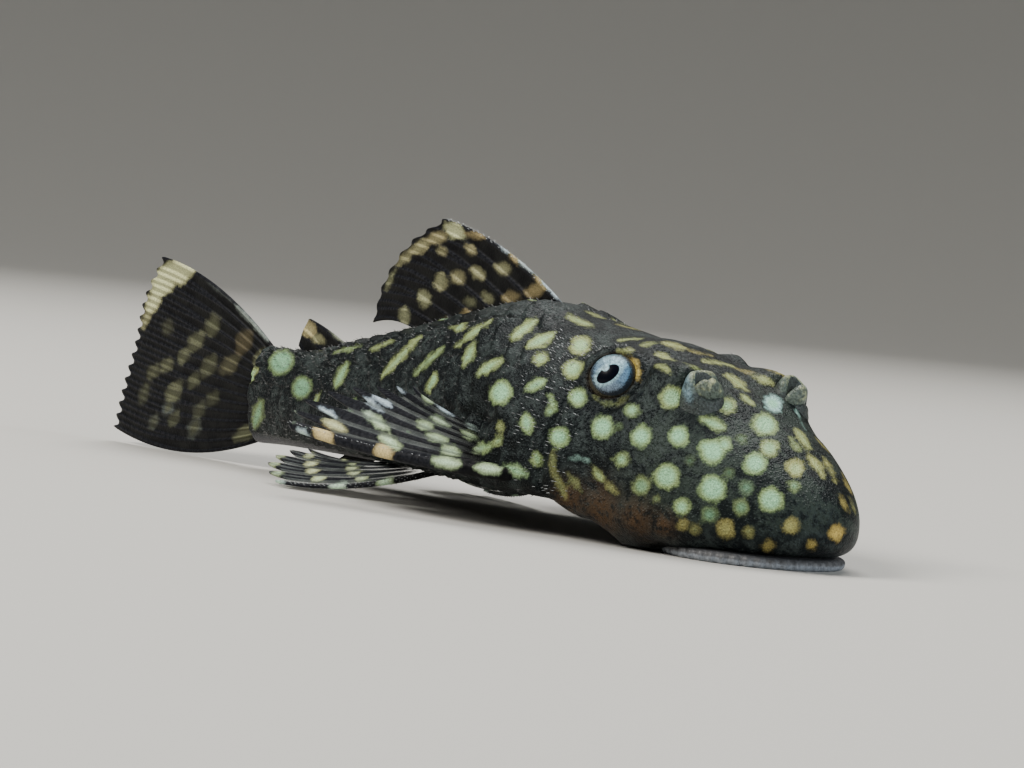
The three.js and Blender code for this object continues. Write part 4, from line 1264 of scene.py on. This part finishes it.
def fin_parts(name, side, look):
    """Points, faces and attributes of a fin: its sheet and a round leading spine, also a lower one at the
    tail."""
    spec = FINS[name]
    rim = curve(spec["rim"], np.linspace(0, 1, 60))
    wide = np.linalg.norm(np.diff(rim, axis=0), axis=1).sum() > 4
    per_ray = FINE_RAY_POINTS if spec["rays"] < 10 else RAY_POINTS
    size = look.ray_size / MM * (1.0 if wide else 0.7)
    sheet = fin_sheet(spec, side, FIN_ROWS, per_ray, look.web_size / MM, size)
    middle, normal, lift, crown, along, across = sheet
    points, faces = closed_sheet(middle + lift, middle - lift)
    values = {"ray": crown, "run": along * 8, "along": along, "across": across}
    attributes = {key: np.tile(value.ravel(), 2) for key, value in values.items()}
    share = np.linspace(0, 1, SPINE_RINGS)
    for column in (0, -1) if name == "caudal_fin" else (0,):
        path, flat = (
            np.stack([np.interp(share, along[:, column], part[:, column, k]) for k in range(3)], -1)
            for part in (middle, normal)
        )
        if name in PAIRED_FINS:
            path[:, 1] -= side * SPINE_ROOT_BEND * step(0.08, 0.0, share)
        ends = np.clip((1.004 - share) / 0.03, 0.02, 1) * np.clip((share + 0.002) / 0.03, 0.02, 1)
        radii = between(spec["spine"], share) * np.sqrt(ends)
        more, more_faces = closed_tube(tube_along(path, radii, flat, 0.9))
        faces += [f + len(points) for f in more_faces]
        points = np.concatenate([points, more])
        spread = np.append(np.repeat(share, TUBE_SIDES), [0, 1])
        extra = {"ray": 1.0, "run": spread * 8, "along": spread, "across": abs(column)}
        for key, value in extra.items():
            attributes[key] = np.concatenate([attributes[key], np.broadcast_to(value, len(more))])
    return above_floor(points), faces, attributes, (middle, normal)


def spine_prickles(middle, normal, spec, count, look, random):
    """Prickles in staggered rows round the outer side of a fin's spine, longer towards its tip. Returns
    points, faces, 1 at the tips and shares along the spine."""
    line = np.arange(count) % SPINE_ROWS
    place = (np.arange(count) // SPINE_ROWS + 0.5 * (line % 2)) * SPINE_ROWS / count
    share = np.clip(between(SPINE_PRICKLE_SPAN, place) + random.normal(size=count) * 0.004, 0.1, 0.99)
    row = np.minimum((share * len(middle)).astype(int), len(middle) - 2)
    path, flat = middle[row, 0], normal[row, 0]
    run = unit(middle[row + 1, 0] - path)
    out = unit(path - middle[row, 3])
    turn = (line - (SPINE_ROWS - 1) / 2) * 0.6 + random.normal(size=count) * 0.08
    away = np.cos(turn)[:, None] * out + np.sin(turn)[:, None] * flat
    lengths = look.prickle_length / MM * random.uniform(0.45, 1, count) * (0.35 + 0.65 * share)
    roots = path + away * (between(spec["spine"], share) * 0.85)[:, None]
    radius = np.full(count, SPINE_PRICKLE_RADIUS)
    points, faces, tips = prickle_mesh(roots, unit(away * 0.9 + run * 0.8), lengths, radius)
    return above_floor(points), faces, tips, share


def fin_marks(name, points, side, attributes):
    """A fin's markings: read from the photograph on the seen side and mirrored, or given as bands."""
    if name not in FIN_BANDS:
        if side < 0:
            return read_marks(FIN_BARS[name], points, True)
        return mirrored(read_marks(FIN_BARS[name], points * FLIP, True), SEED + 5)
    across, along, radius, warm, strength = np.array(FIN_BANDS[name], float).T
    gap = 6 * np.abs(attributes["across"] - across[:, None])
    gap += 4 * np.abs(attributes["along"] - along[:, None])
    spots = points[np.argmin(gap, axis=1)]
    return {
        "start": spots, "end": spots, "radius": radius, "warm": warm, "strength": strength,
        "line": np.zeros_like(spots),
    }


def nostril_frame(side):
    """A nostril's place, its axis, and the ways forward, ahead and outward, square to that axis."""
    place = section(np.array(NOSTRIL_STATION), np.array(nostril_angle())) * (1, side, 1)
    axis = unit(np.array(NOSTRIL_LEAN) * (1, side, 1))
    ways = np.array([(0.9, 0.42 * side, 0), (1, 0, 0), (-0.64, 0.76 * side, 0)])
    return place, axis, *(unit(way - axis * (way @ axis)) for way in ways)


def nostril_tube(side):
    """A nostril's tube: its outline turned about the axis, drawn down in front, raised behind and made a
    little lumpy. Returns points, faces and the shares of pale crest, bluish wall and pit."""
    place, axis, _, ahead, outer = nostril_frame(side)
    outline = np.array(NOSTRIL_PROFILE)
    ring = np.linspace(0, len(outline) - 1, 46)
    radii, heights = (np.interp(ring, np.arange(len(outline)), part) for part in outline.T)
    tube = turned_about(axis, place, radii, heights, NOSTRIL_SIDES)
    rear = step(0.45, -0.6, (tube - place) @ ahead)
    rise = (tube - place) @ axis
    ring, heights = ring[:, None], heights[:, None]
    lift = REAR_WALL * step(-0.2, 0.6, heights) * rear - FRONT_WALL_DROP * np.maximum(rise, 0) * (1 - rear)
    tube = tube + lift[..., None] * axis
    tube += 0.12 * (ripple(tube, 1.5, 21) * step(-0.2, 0.2, heights))[..., None] * axis
    cool = step(0.45, 0.9, (tube - place) @ outer) * step(0.0, 0.4, rise) * step(1.0, 0.6, rise)
    crest = 0.85 * step(0.35, 0.7, heights) * (ring < CREST_RING) * rear
    pit = np.broadcast_to(ring > PIT_RING, cool.shape)
    return *closed_tube(tube), crest, cool, pit


def nostril_flap(side):
    """A nostril's flap: a ball made flat along the way forward, bent back at its sides and top, narrower
    and notched above and a little lumpy. Returns points, faces and how near each point is to the top."""
    place, axis, forward, _, _ = nostril_frame(side)
    polar = np.linspace(0.05, np.pi - 0.05, 28)
    ball = turned_about(np.array([0.0, 0.0, 1.0]), np.zeros(3), np.sin(polar), -np.cos(polar), FLAP_SIDES)
    thick, wide, tall = ball[..., :1], ball[..., 1:2], ball[..., 2:]
    upper = np.maximum(tall, 0)
    bend = FLAP_SIZE[0] * thick - 0.16 * wide**2 - 0.12 * upper**2
    notch = 0.14 * bell(wide - 0.2 * side, 0.2) * upper
    inward = np.array([0, -side, 0]) + axis * side * axis[1]
    flap = place + axis * (FLAP_RISE + FLAP_SIZE[2] * (tall - notch)) + forward * (bend + FLAP_FORWARD)
    flap += np.cross(axis, forward) * FLAP_SIZE[1] * wide * (1 - 0.28 * upper**2) + inward * FLAP_INWARD
    flap += 0.07 * ripple(flap, 1.7, 22)[..., None] * (axis + forward)
    top = np.repeat(0.15 + 0.6 * (1 - np.cos(polar)) / 2, FLAP_SIDES)
    return *closed_tube(flap), np.append(top, [0.15, 0.75])


def nostril_shells(side):
    """A nostril: its tube and its flap as one, with the shares that colour them."""
    tube, tube_faces, crest, cool, pit = nostril_tube(side)
    flap, flap_faces, top = nostril_flap(side)
    faces = tube_faces + [part + len(tube) for part in flap_faces]
    blank = np.zeros(len(flap))
    return np.concatenate([tube, flap]), faces, {
        "rise": np.concatenate([crest.ravel(), [0, 0], top]),
        "cool": np.concatenate([cool.ravel(), [0, 0], blank]),
        "pit": np.concatenate([pit.ravel(), [0, 1], blank]),
    }


def eyeball(side):
    """An eyeball round its gaze, drawn out a little at the cornea. Returns points, faces and the flat
    coordinates of each point, seen from the front."""
    centre, _ = eye_frame(side)
    gaze = unit(np.array(GAZE) * (1, side, 1))
    polar = np.linspace(np.pi - 0.02, 0.02, 96)
    bulge = 1 + CORNEA_BULGE * step(0.9, 0.2, polar)
    radii, heights = EYE_RADIUS * np.sin(polar), EYE_RADIUS * np.cos(polar) * bulge
    points, faces = closed_tube(turned_about(gaze, centre, radii, heights, EYE_SIDES))
    right = unit(np.cross([0.0, 0.0, 1.0], gaze)) * -side
    up = unit(np.array([0.0, 0.0, 1.0]) - gaze * gaze[2])
    off = points - centre
    return points, faces, np.stack([off @ right, off @ up], -1) * MM / IRIS_UNIT


def mouth_shell(look):
    """The sucker mouth: a round disc with a rolled lip, an oval opening below and rows of soft bumps.
    Returns points, faces and how near each point is to the lower edge."""
    radius = look.lip_radius / MM
    edge = radius - LIP_ROLL
    roll = np.linspace(-np.pi / 2, np.pi / 2, 26)[1:]
    under, over = np.linspace(0.06, edge, 70), np.linspace(edge, 0.2, 14)[1:]
    out = np.concatenate([under, edge + LIP_ROLL * np.cos(roll), over])
    rise = [0 * under, LIP_ROLL + LIP_ROLL * np.sin(roll), np.linspace(2 * LIP_ROLL, 1.5, 14)[1:]]
    r, a = np.meshgrid(out, np.arange(LIP_SIDES) / LIP_SIDES * 2 * np.pi, indexing="ij")
    below = (np.arange(len(out)) <= len(under))[:, None]
    bumps = 0.5 + 0.5 * np.cos(r * 2 * np.pi / 0.42) * np.cos(np.round(r * 9) * a + r * 5)
    opening = ((r * np.cos(a) - 0.4) / 1.2) ** 2 + (r * np.sin(a) / 2.3) ** 2
    z = np.concatenate(rise)[:, None] + below * (0.07 * bumps + 0.85 * step(1.15, 0.75, opening))
    fringe = 1 + 0.012 * np.cos(a * 46) * step(edge - 0.2, radius, r)
    rings = np.stack([-MOUTH_STATION + r * fringe * np.cos(a), -r * fringe * np.sin(a), z], -1)
    rim = step(radius - 0.5, radius - 0.1, r) * step(0.42, 0.18, z)
    return *closed_tube(rings), np.append(rim.ravel(), [0, 0])


# Settings

def colour_setting(name, description, value):
    return bpy.props.FloatVectorProperty(
        name=name, description=description, subtype="COLOR", size=3, min=0, max=1, default=value
    )


def number_setting(name, description, value, **limits):
    return bpy.props.FloatProperty(name=name, description=description, default=value, min=0, **limits)


def length_setting(name, description, value):
    return number_setting(name, description, value, unit="LENGTH", precision=5)


def share_setting(name, description, value):
    return number_setting(name, description, value, subtype="FACTOR", max=1)


def count_setting(name, description, value, least, most):
    return bpy.props.IntProperty(name=name, description=description, default=value, min=least, max=most)


def place_setting(name, description, value):
    return bpy.props.FloatVectorProperty(
        name=name, description=description, size=2, unit="LENGTH", precision=5, default=value
    )


class PLECO_PG_skin(bpy.types.PropertyGroup):
    """Sizes and colours of the skin and its prickles."""

    plate_scale: number_setting("Plate height", "Height of the plates against the solids'", 1.0, max=2)
    roughness: share_setting("Roughness", "Roughness of the skin", 0.4)
    dark: colour_setting("Dark", "Darkest skin", (0.0016, 0.0024, 0.0032))
    mottle: colour_setting("Mottle", "Lighter patches between the spots", (0.025, 0.032, 0.031))
    snout: colour_setting("Snout", "Soft skin of the snout", (0.022, 0.030, 0.024))
    belly: colour_setting("Belly", "Underside", (0.07, 0.07, 0.08))
    flush: colour_setting("Flush", "Brownish cheeks, low down", (0.052, 0.028, 0.012))
    green: colour_setting("Green", "Round spots", (0.29, 0.41, 0.175))
    core: colour_setting("Core", "Bluer middle of a spot", (0.26, 0.54, 0.33))
    orange: colour_setting("Orange", "Warm spots on top and low on the snout", (0.50, 0.36, 0.09))
    white: colour_setting("White", "Bluish white spots", (0.46, 0.74, 0.70))
    # The tip colour is partly the prickles' own pale colour and partly painted glint.
    prickle: colour_setting("Prickle", "Tips of the prickles", (0.62, 0.66, 0.68))
    prickle_root: colour_setting("Prickle root", "Roots of the prickles", (0.12, 0.12, 0.12))
    prickle_length: length_setting("Prickle length", "Longest prickle of a plate", 0.00028)
    prickle_radius: length_setting("Prickle radius", "Radius of a prickle's root", 0.000038)
    prickles_per_plate: count_setting("Prickles per plate", "Prickles across a plate's rear edge", 9, 1, 40)
    prickles_on_nape: count_setting("Prickles on nape", "Prickles over nape and cheek", 430, 0, 3000)


class PLECO_PG_fins(bpy.types.PropertyGroup):
    """Sizes and colours of the fins."""

    web_size: length_setting("Web", "Half the thickness of the web", 0.00005)
    ray_size: length_setting("Ray", "Height of a ray above the web", 0.00013)
    clear_web: share_setting("Side fin web", "How solid the web of side and belly fins is", 0.42)
    prickle_length: length_setting("Prickle length", "Longest prickle of a fin spine", 0.00024)
    web: colour_setting("Web", "Dark web between rays", (0.0035, 0.0036, 0.0042))
    web_warm: colour_setting("Warm web", "Warmer clouds in the web", (0.009, 0.0092, 0.009))
    veil: colour_setting("Veil", "Smoky web of side and belly fins", (0.07, 0.08, 0.08))
    veil_pale: colour_setting("Pale veil", "Clearer clouds in that web", (0.14, 0.155, 0.15))
    ray: colour_setting("Ray", "Dark stretches of the rays", (0.003, 0.0036, 0.0056))
    ray_pale: colour_setting("Pale ray", "Lighter flecks of the rays", (0.013, 0.014, 0.018))
    cream: colour_setting("Cream", "Pale bands of side and belly fins", (0.40, 0.52, 0.30))
    core: colour_setting("Core", "Middle of such a band", (0.48, 0.68, 0.48))
    band: colour_setting("Band", "Yellowish bands of dorsal and tail fins", (0.62, 0.65, 0.36))
    orange: colour_setting("Orange", "Warm bands and margins", (0.57, 0.45, 0.21))
    white: colour_setting("White", "Bluish white bands and edges", (0.55, 0.68, 0.78))


class PLECO_PG_eyes(bpy.types.PropertyGroup):
    """Sizes and colours of the eyes; places are right and up from the middle of the gaze."""

    pupil_place: place_setting("Pupil place", "Middle of the pupil", (-0.00040, 0.00031))
    pupil_size: place_setting("Pupil size", "Half length and half width of the pupil", (0.00069, 0.00037))
    pupil_tilt: bpy.props.FloatProperty(
        name="Pupil tilt", description="Rise of the pupil's long axis, in degrees", default=42
    )
    notch_place: place_setting("Notch place", "Middle of the pale flap over the pupil", (-0.00060, 0.00066))
    notch_size: length_setting("Notch size", "Radius of the pale flap over the pupil", 0.00022)
    iris_place: place_setting("Iris place", "Middle of the bare part of the eye", (-0.00020, 0.00031))
    iris: colour_setting("Iris", "Pale iris", (0.15, 0.24, 0.34))
    iris_halo: colour_setting("Halo", "Iris above and next to the pupil", (0.42, 0.65, 0.72))
    iris_blue: colour_setting("Blue iris", "Front of the iris", (0.15, 0.31, 0.48))
    iris_low: colour_setting("Low iris", "Lower part of the iris", (0.24, 0.30, 0.37))
    iris_rim: colour_setting("Rim", "Dark rim of the iris", (0.016, 0.019, 0.024))
    ring: colour_setting("Ring", "Thin skin round the iris", (0.055, 0.05, 0.034))
    pupil: colour_setting("Pupil", "Pupil", (0.0016, 0.002, 0.005))


class PLECO_PG_mouth(bpy.types.PropertyGroup):
    """Sizes and colours of mouth and nostrils."""

    lip_radius: length_setting("Lip radius", "Radius of the sucker mouth", MOUTH_RADIUS * MM)
    lip: colour_setting("Lip", "Inner part and upper side of the lip", (0.065, 0.066, 0.07))
    lip_edge: colour_setting("Lip edge", "Lower edge of the lip", (0.22, 0.24, 0.27))
    nostril: colour_setting("Nostril", "Tube of a nostril", (0.036, 0.045, 0.042))
    nostril_low: colour_setting("Low flap", "Lower part of the flap in a nostril", (0.088, 0.112, 0.092))
    pit: colour_setting("Pit", "Inner wall of a nostril", (0.04, 0.049, 0.046))
    nostril_rear: colour_setting("Nostril rear", "Bluish outer wall of a nostril", (0.15, 0.235, 0.275))
    nostril_flap: colour_setting("Nostril flap", "Top of the flap in a nostril", (0.31, 0.33, 0.19))


class PLECO_PG_stage(bpy.types.PropertyGroup):
    """Floor and light."""

    floor: colour_setting("Floor", "Plain pale floor", (0.50, 0.49, 0.46))
    flat_radius: length_setting("Flat floor", "Radius of the flat part of the floor", 0.75)
    key_power: number_setting("Key light", "Strength of the main light", 5.0, unit="POWER")
    fill_power: number_setting("Fill light", "Strength of the light from the right", 2.6, unit="POWER")
    top_power: number_setting("Top light", "Strength of the light from above and behind", 4.0, unit="POWER")
    sky: number_setting("Sky", "Strength of the even light from all round", 0.16)


# Operators

class PLECO_OT_skin(bpy.types.Operator):
    """Build one skin over head, trunk and tail, with plates, eye rims and markings"""

    bl_idname = "pleco.skin"
    bl_label = "Skin"

    def execute(self, context):
        look = context.scene.pleco_skin
        _, _, points, masks = skin_points(look)
        marks = body_marks(points, surface_normals(points))
        end = rounded_end(points, 7, TAIL_ROUNDING)
        rings = np.concatenate([points, end])
        vertices, faces = closed_tube(rings)
        attributes = mark_fields(vertices, marks)
        masks["flush"] = np.maximum(soft_mask(points, FLUSH), masks.pop("lid"))
        # The painted deep shade behind the side fins' bases joins the painted shade of the creases.
        masks["crease"] = np.maximum(masks["crease"], soft_mask(points, HOLLOWS))
        for key, values in masks.items():
            tail = np.repeat(values[-1:], len(end), 0)
            spread = np.concatenate([values, tail]).ravel()
            attributes[key] = np.append(spread, [values[0, 0], values[-1, 0]])
        make_piece(
            "skin", vertices, faces, skin_material(look), attributes,
            ("head", "trunk", "tail_base", "gill_cover_right", "gill_cover_left"),
        )
        return {"FINISHED"}


class PLECO_OT_prickles(bpy.types.Operator):
    """Build the prickles of the plates and the nape"""

    bl_idname = "pleco.prickles"
    bl_label = "Prickles"

    def execute(self, context):
        look = context.scene.pleco_skin
        grid_station, grid_angle, points, _ = skin_points(look)
        normals = surface_normals(points)
        station, angle, size, shade = plate_prickles(look)
        nearest = nearest_on_grid(station, angle, grid_station, grid_angle)
        roots, square = points[nearest], normals[nearest]
        clear = soft_mask(points, HOLLOWS)[nearest] < 0.4
        for side in (-1, 1):
            clear &= from_eye(roots, side)[1] > BARE_ROUND_EYE
        roots, square, size = roots[clear], square[clear], size[clear]
        leans = unit(square * 0.75 + np.array([-1.0, 0, 0.08]))
        radius = look.prickle_radius / MM * (0.7 + 0.3 * size)
        lengths = look.prickle_length / MM * size
        vertices, faces, tips = prickle_mesh(roots - square * 0.03, leans, lengths, radius)
        # Pale tips: the prickles' own colour and painted glints.
        tips = tips * np.repeat(shade[clear], 4)
        flat = np.stack([station[clear] / SKIN_MAP_LENGTH, (angle[clear] / (2 * np.pi)) % 1], -1)
        make_piece(
            "plate_prickles", vertices, faces, spine_material(look), {"tip": tips},
            uv=prickle_patches(flat),
        )
        return {"FINISHED"}


class PLECO_OT_eyes(bpy.types.Operator):
    """Build both eyes"""

    bl_idname = "pleco.eyes"
    bl_label = "Eyes"

    def execute(self, context):
        made = eye_material(context.scene.pleco_eyes)
        for side, name in ((-1, "right"), (1, "left")):
            points, faces, flat = eyeball(side)
            nodes = (f"eye_{name}",)
            make_piece(f"eyeball_{name}", points, faces, made, None, nodes, ("iris", flat))
        return {"FINISHED"}


class PLECO_OT_nostrils(bpy.types.Operator):
    """Build both nostrils with their flaps"""

    bl_idname = "pleco.nostrils"
    bl_label = "Nostrils"

    def execute(self, context):
        look = context.scene.pleco_mouth
        made = nostril_material(look)
        for side, name in ((-1, "right"), (1, "left")):
            points, faces, attributes = nostril_shells(side)
            make_piece(f"nostril_{name}", points, faces, made, attributes)
        return {"FINISHED"}


class PLECO_OT_mouth(bpy.types.Operator):
    """Build the sucker mouth"""

    bl_idname = "pleco.mouth"
    bl_label = "Mouth"

    def execute(self, context):
        look = context.scene.pleco_mouth
        points, faces, edge = mouth_shell(look)
        make_piece("sucker_mouth", points, faces, lip_material(look), {"edge": edge}, ("mouth",))
        return {"FINISHED"}


class PLECO_OT_fins(bpy.types.Operator):
    """Build all fins with their rays, spines and bands"""

    bl_idname = "pleco.fins"
    bl_label = "Fins"

    def execute(self, context):
        look = context.scene.pleco_fins
        solid = fin_material("fins", look, 0.97, look.web, look.web_warm, look.band, look.band, 0.0)
        veil = fin_material(
            "side fins", look, look.clear_web, look.veil, look.veil_pale, look.cream, look.core, 0.15
        )
        for name in FINS:
            made = veil if name in PAIRED_FINS else solid
            for side, suffix in fin_sides(name):
                points, faces, attributes, _ = fin_parts(name, side, look)
                attributes |= mark_fields(points, fin_marks(name, points, side, attributes))
                nodes = (name + suffix,)
                make_piece(f"{name}{suffix}_sheet", points, faces, made, attributes, nodes)
        return {"FINISHED"}


class PLECO_OT_fin_prickles(bpy.types.Operator):
    """Build the prickles along the spines of side, belly and dorsal fins"""

    bl_idname = "pleco.fin_prickles"
    bl_label = "Fin prickles"

    def execute(self, context):
        look = context.scene.pleco_fins
        made = spine_material(context.scene.pleco_skin)
        random = np.random.default_rng(SEED + 9)
        for name, count in SPINE_PRICKLES.items():
            for side, suffix in fin_sides(name):
                middle, normal = fin_parts(name, side, look)[3]
                points, faces, tips, share = spine_prickles(middle, normal, FINS[name], count, look, random)
                flat = np.stack([share * 0.9, np.full(count, 0.5)], -1)
                make_piece(
                    f"{name}{suffix}_prickles", points, faces, made, {"tip": tips},
                    uv=prickle_patches(flat),
                )
        return {"FINISHED"}


def stage_object(name, data):
    """A new object of the stage, which holds the given data."""
    made = bpy.data.objects.new(name, data)
    bpy.context.scene.collection.objects.link(made)
    return made


def add_floor(look):
    """A flat round floor whose rim rises in a quarter round to a wall."""
    bend = np.linspace(0, np.pi / 2, 40)[1:]
    flat = np.linspace(0.02, look.flat_radius, 30)
    out = np.concatenate([flat, look.flat_radius + COVE_RADIUS * np.sin(bend)])
    up = np.concatenate([0 * flat, COVE_RADIUS * (1 - np.cos(bend))])
    out, up = np.append(out, out[-1]), np.append(up, up[-1] + WALL_HEIGHT)
    turn = np.arange(FLOOR_SIDES) / FLOOR_SIDES * 2 * np.pi
    x, y = out[:, None] * np.cos(turn), out[:, None] * np.sin(turn)
    rings = np.stack([x, y, np.broadcast_to(up[:, None], x.shape)], -1).reshape(-1, 3)
    here = np.arange(FLOOR_SIDES)
    middle = np.stack([here, (here + 1) % FLOOR_SIDES, np.full(FLOOR_SIDES, len(rings))], -1)
    faces = grid_faces(len(out), FLOOR_SIDES, closed=True).tolist() + middle.tolist()
    mesh = bpy.data.meshes.new("floor")
    mesh.from_pydata(rings.tolist() + [[0, 0, 0]], [], faces)
    mesh.shade_smooth()
    made, _, surface = new_material("floor", 0.8, 0.2)
    surface.inputs["Base Color"].default_value = rgba(look.floor)
    mesh.materials.append(made)
    stage_object("floor", mesh)


def add_lamps(look):
    """Soft square lamps that point at the fish, placed from the camera's view, and an even sky."""
    _, back, right, _ = camera_axes()
    aim = (np.array(CAMERA["aim"]) + SHIFT) * MM
    for name, side, rise, depth, size, tint in LAMPS:
        lamp = bpy.data.lights.new(name, "AREA")
        lamp.energy = getattr(look, f"{name}_power")
        lamp.size = size
        lamp.color = tint
        place = aim + right * side + np.array([0, 0, rise]) + back * depth
        made = stage_object(name, lamp)
        made.location = place
        made.rotation_euler = Vector(aim - place).to_track_quat("-Z", "Y").to_euler()
    world = bpy.data.worlds.new("soft sky")
    world.use_nodes = True
    sky = world.node_tree.nodes["Background"]
    sky.inputs["Color"].default_value = (0.9, 0.95, 1.0, 1)
    sky.inputs["Strength"].default_value = look.sky
    bpy.context.scene.world = world


def add_camera():
    """The photograph's camera."""
    place, back, right, up = camera_axes()
    lens = bpy.data.cameras.new("camera")
    lens.sensor_width = SENSOR
    lens.lens = FOCAL_PIXELS / IMAGE_WIDTH * SENSOR
    lens.clip_start, lens.clip_end = 0.01, 10
    camera = stage_object("camera", lens)
    turn = Matrix((right, up, back)).transposed().to_4x4()
    camera.matrix_world = Matrix.Translation((place + SHIFT) * MM) @ turn
    bpy.context.scene.camera = camera


class PLECO_OT_stage(bpy.types.Operator):
    """Build the floor, the soft light and the photograph's camera"""

    bl_idname = "pleco.stage"
    bl_label = "Stage"

    def execute(self, context):
        look = context.scene.pleco_stage
        add_floor(look)
        add_lamps(look)
        add_camera()
        return {"FINISHED"}


class PLECO_PT_panel(bpy.types.Panel):
    """Builds the pleco piece by piece"""

    bl_idname = "PLECO_PT_panel"
    bl_label = "Bristlenose pleco"
    bl_space_type = "VIEW_3D"
    bl_region_type = "UI"
    bl_category = "Pleco"

    def draw(self, context):
        for group in SETTINGS:
            box = self.layout.box()
            box.label(text=group.replace("pleco_", "").capitalize())
            settings = getattr(context.scene, group)
            for key in type(settings).__annotations__:
                box.prop(settings, key)
        for operator in OPERATORS:
            self.layout.operator(operator.bl_idname)


SETTINGS = {
    "pleco_skin": PLECO_PG_skin,
    "pleco_fins": PLECO_PG_fins,
    "pleco_eyes": PLECO_PG_eyes,
    "pleco_mouth": PLECO_PG_mouth,
    "pleco_stage": PLECO_PG_stage,
}
OPERATORS = [
    PLECO_OT_skin, PLECO_OT_prickles, PLECO_OT_eyes, PLECO_OT_nostrils, PLECO_OT_mouth, PLECO_OT_fins,
    PLECO_OT_fin_prickles, PLECO_OT_stage,
]


def register():
    for cls in (*SETTINGS.values(), *OPERATORS, PLECO_PT_panel):
        bpy.utils.register_class(cls)
    for key, cls in SETTINGS.items():
        setattr(bpy.types.Scene, key, bpy.props.PointerProperty(type=cls))


def unregister():
    for key in SETTINGS:
        delattr(bpy.types.Scene, key)
    for cls in (PLECO_PT_panel, *reversed(OPERATORS), *reversed(list(SETTINGS.values()))):
        bpy.utils.unregister_class(cls)


def main():
    """Registers the add-on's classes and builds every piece."""
    register()
    bpy.ops.pleco.skin()
    bpy.ops.pleco.prickles()
    bpy.ops.pleco.eyes()
    bpy.ops.pleco.nostrils()
    bpy.ops.pleco.mouth()
    bpy.ops.pleco.fins()
    bpy.ops.pleco.fin_prickles()
    bpy.ops.pleco.stage()


if __name__ == "__main__":
    main()
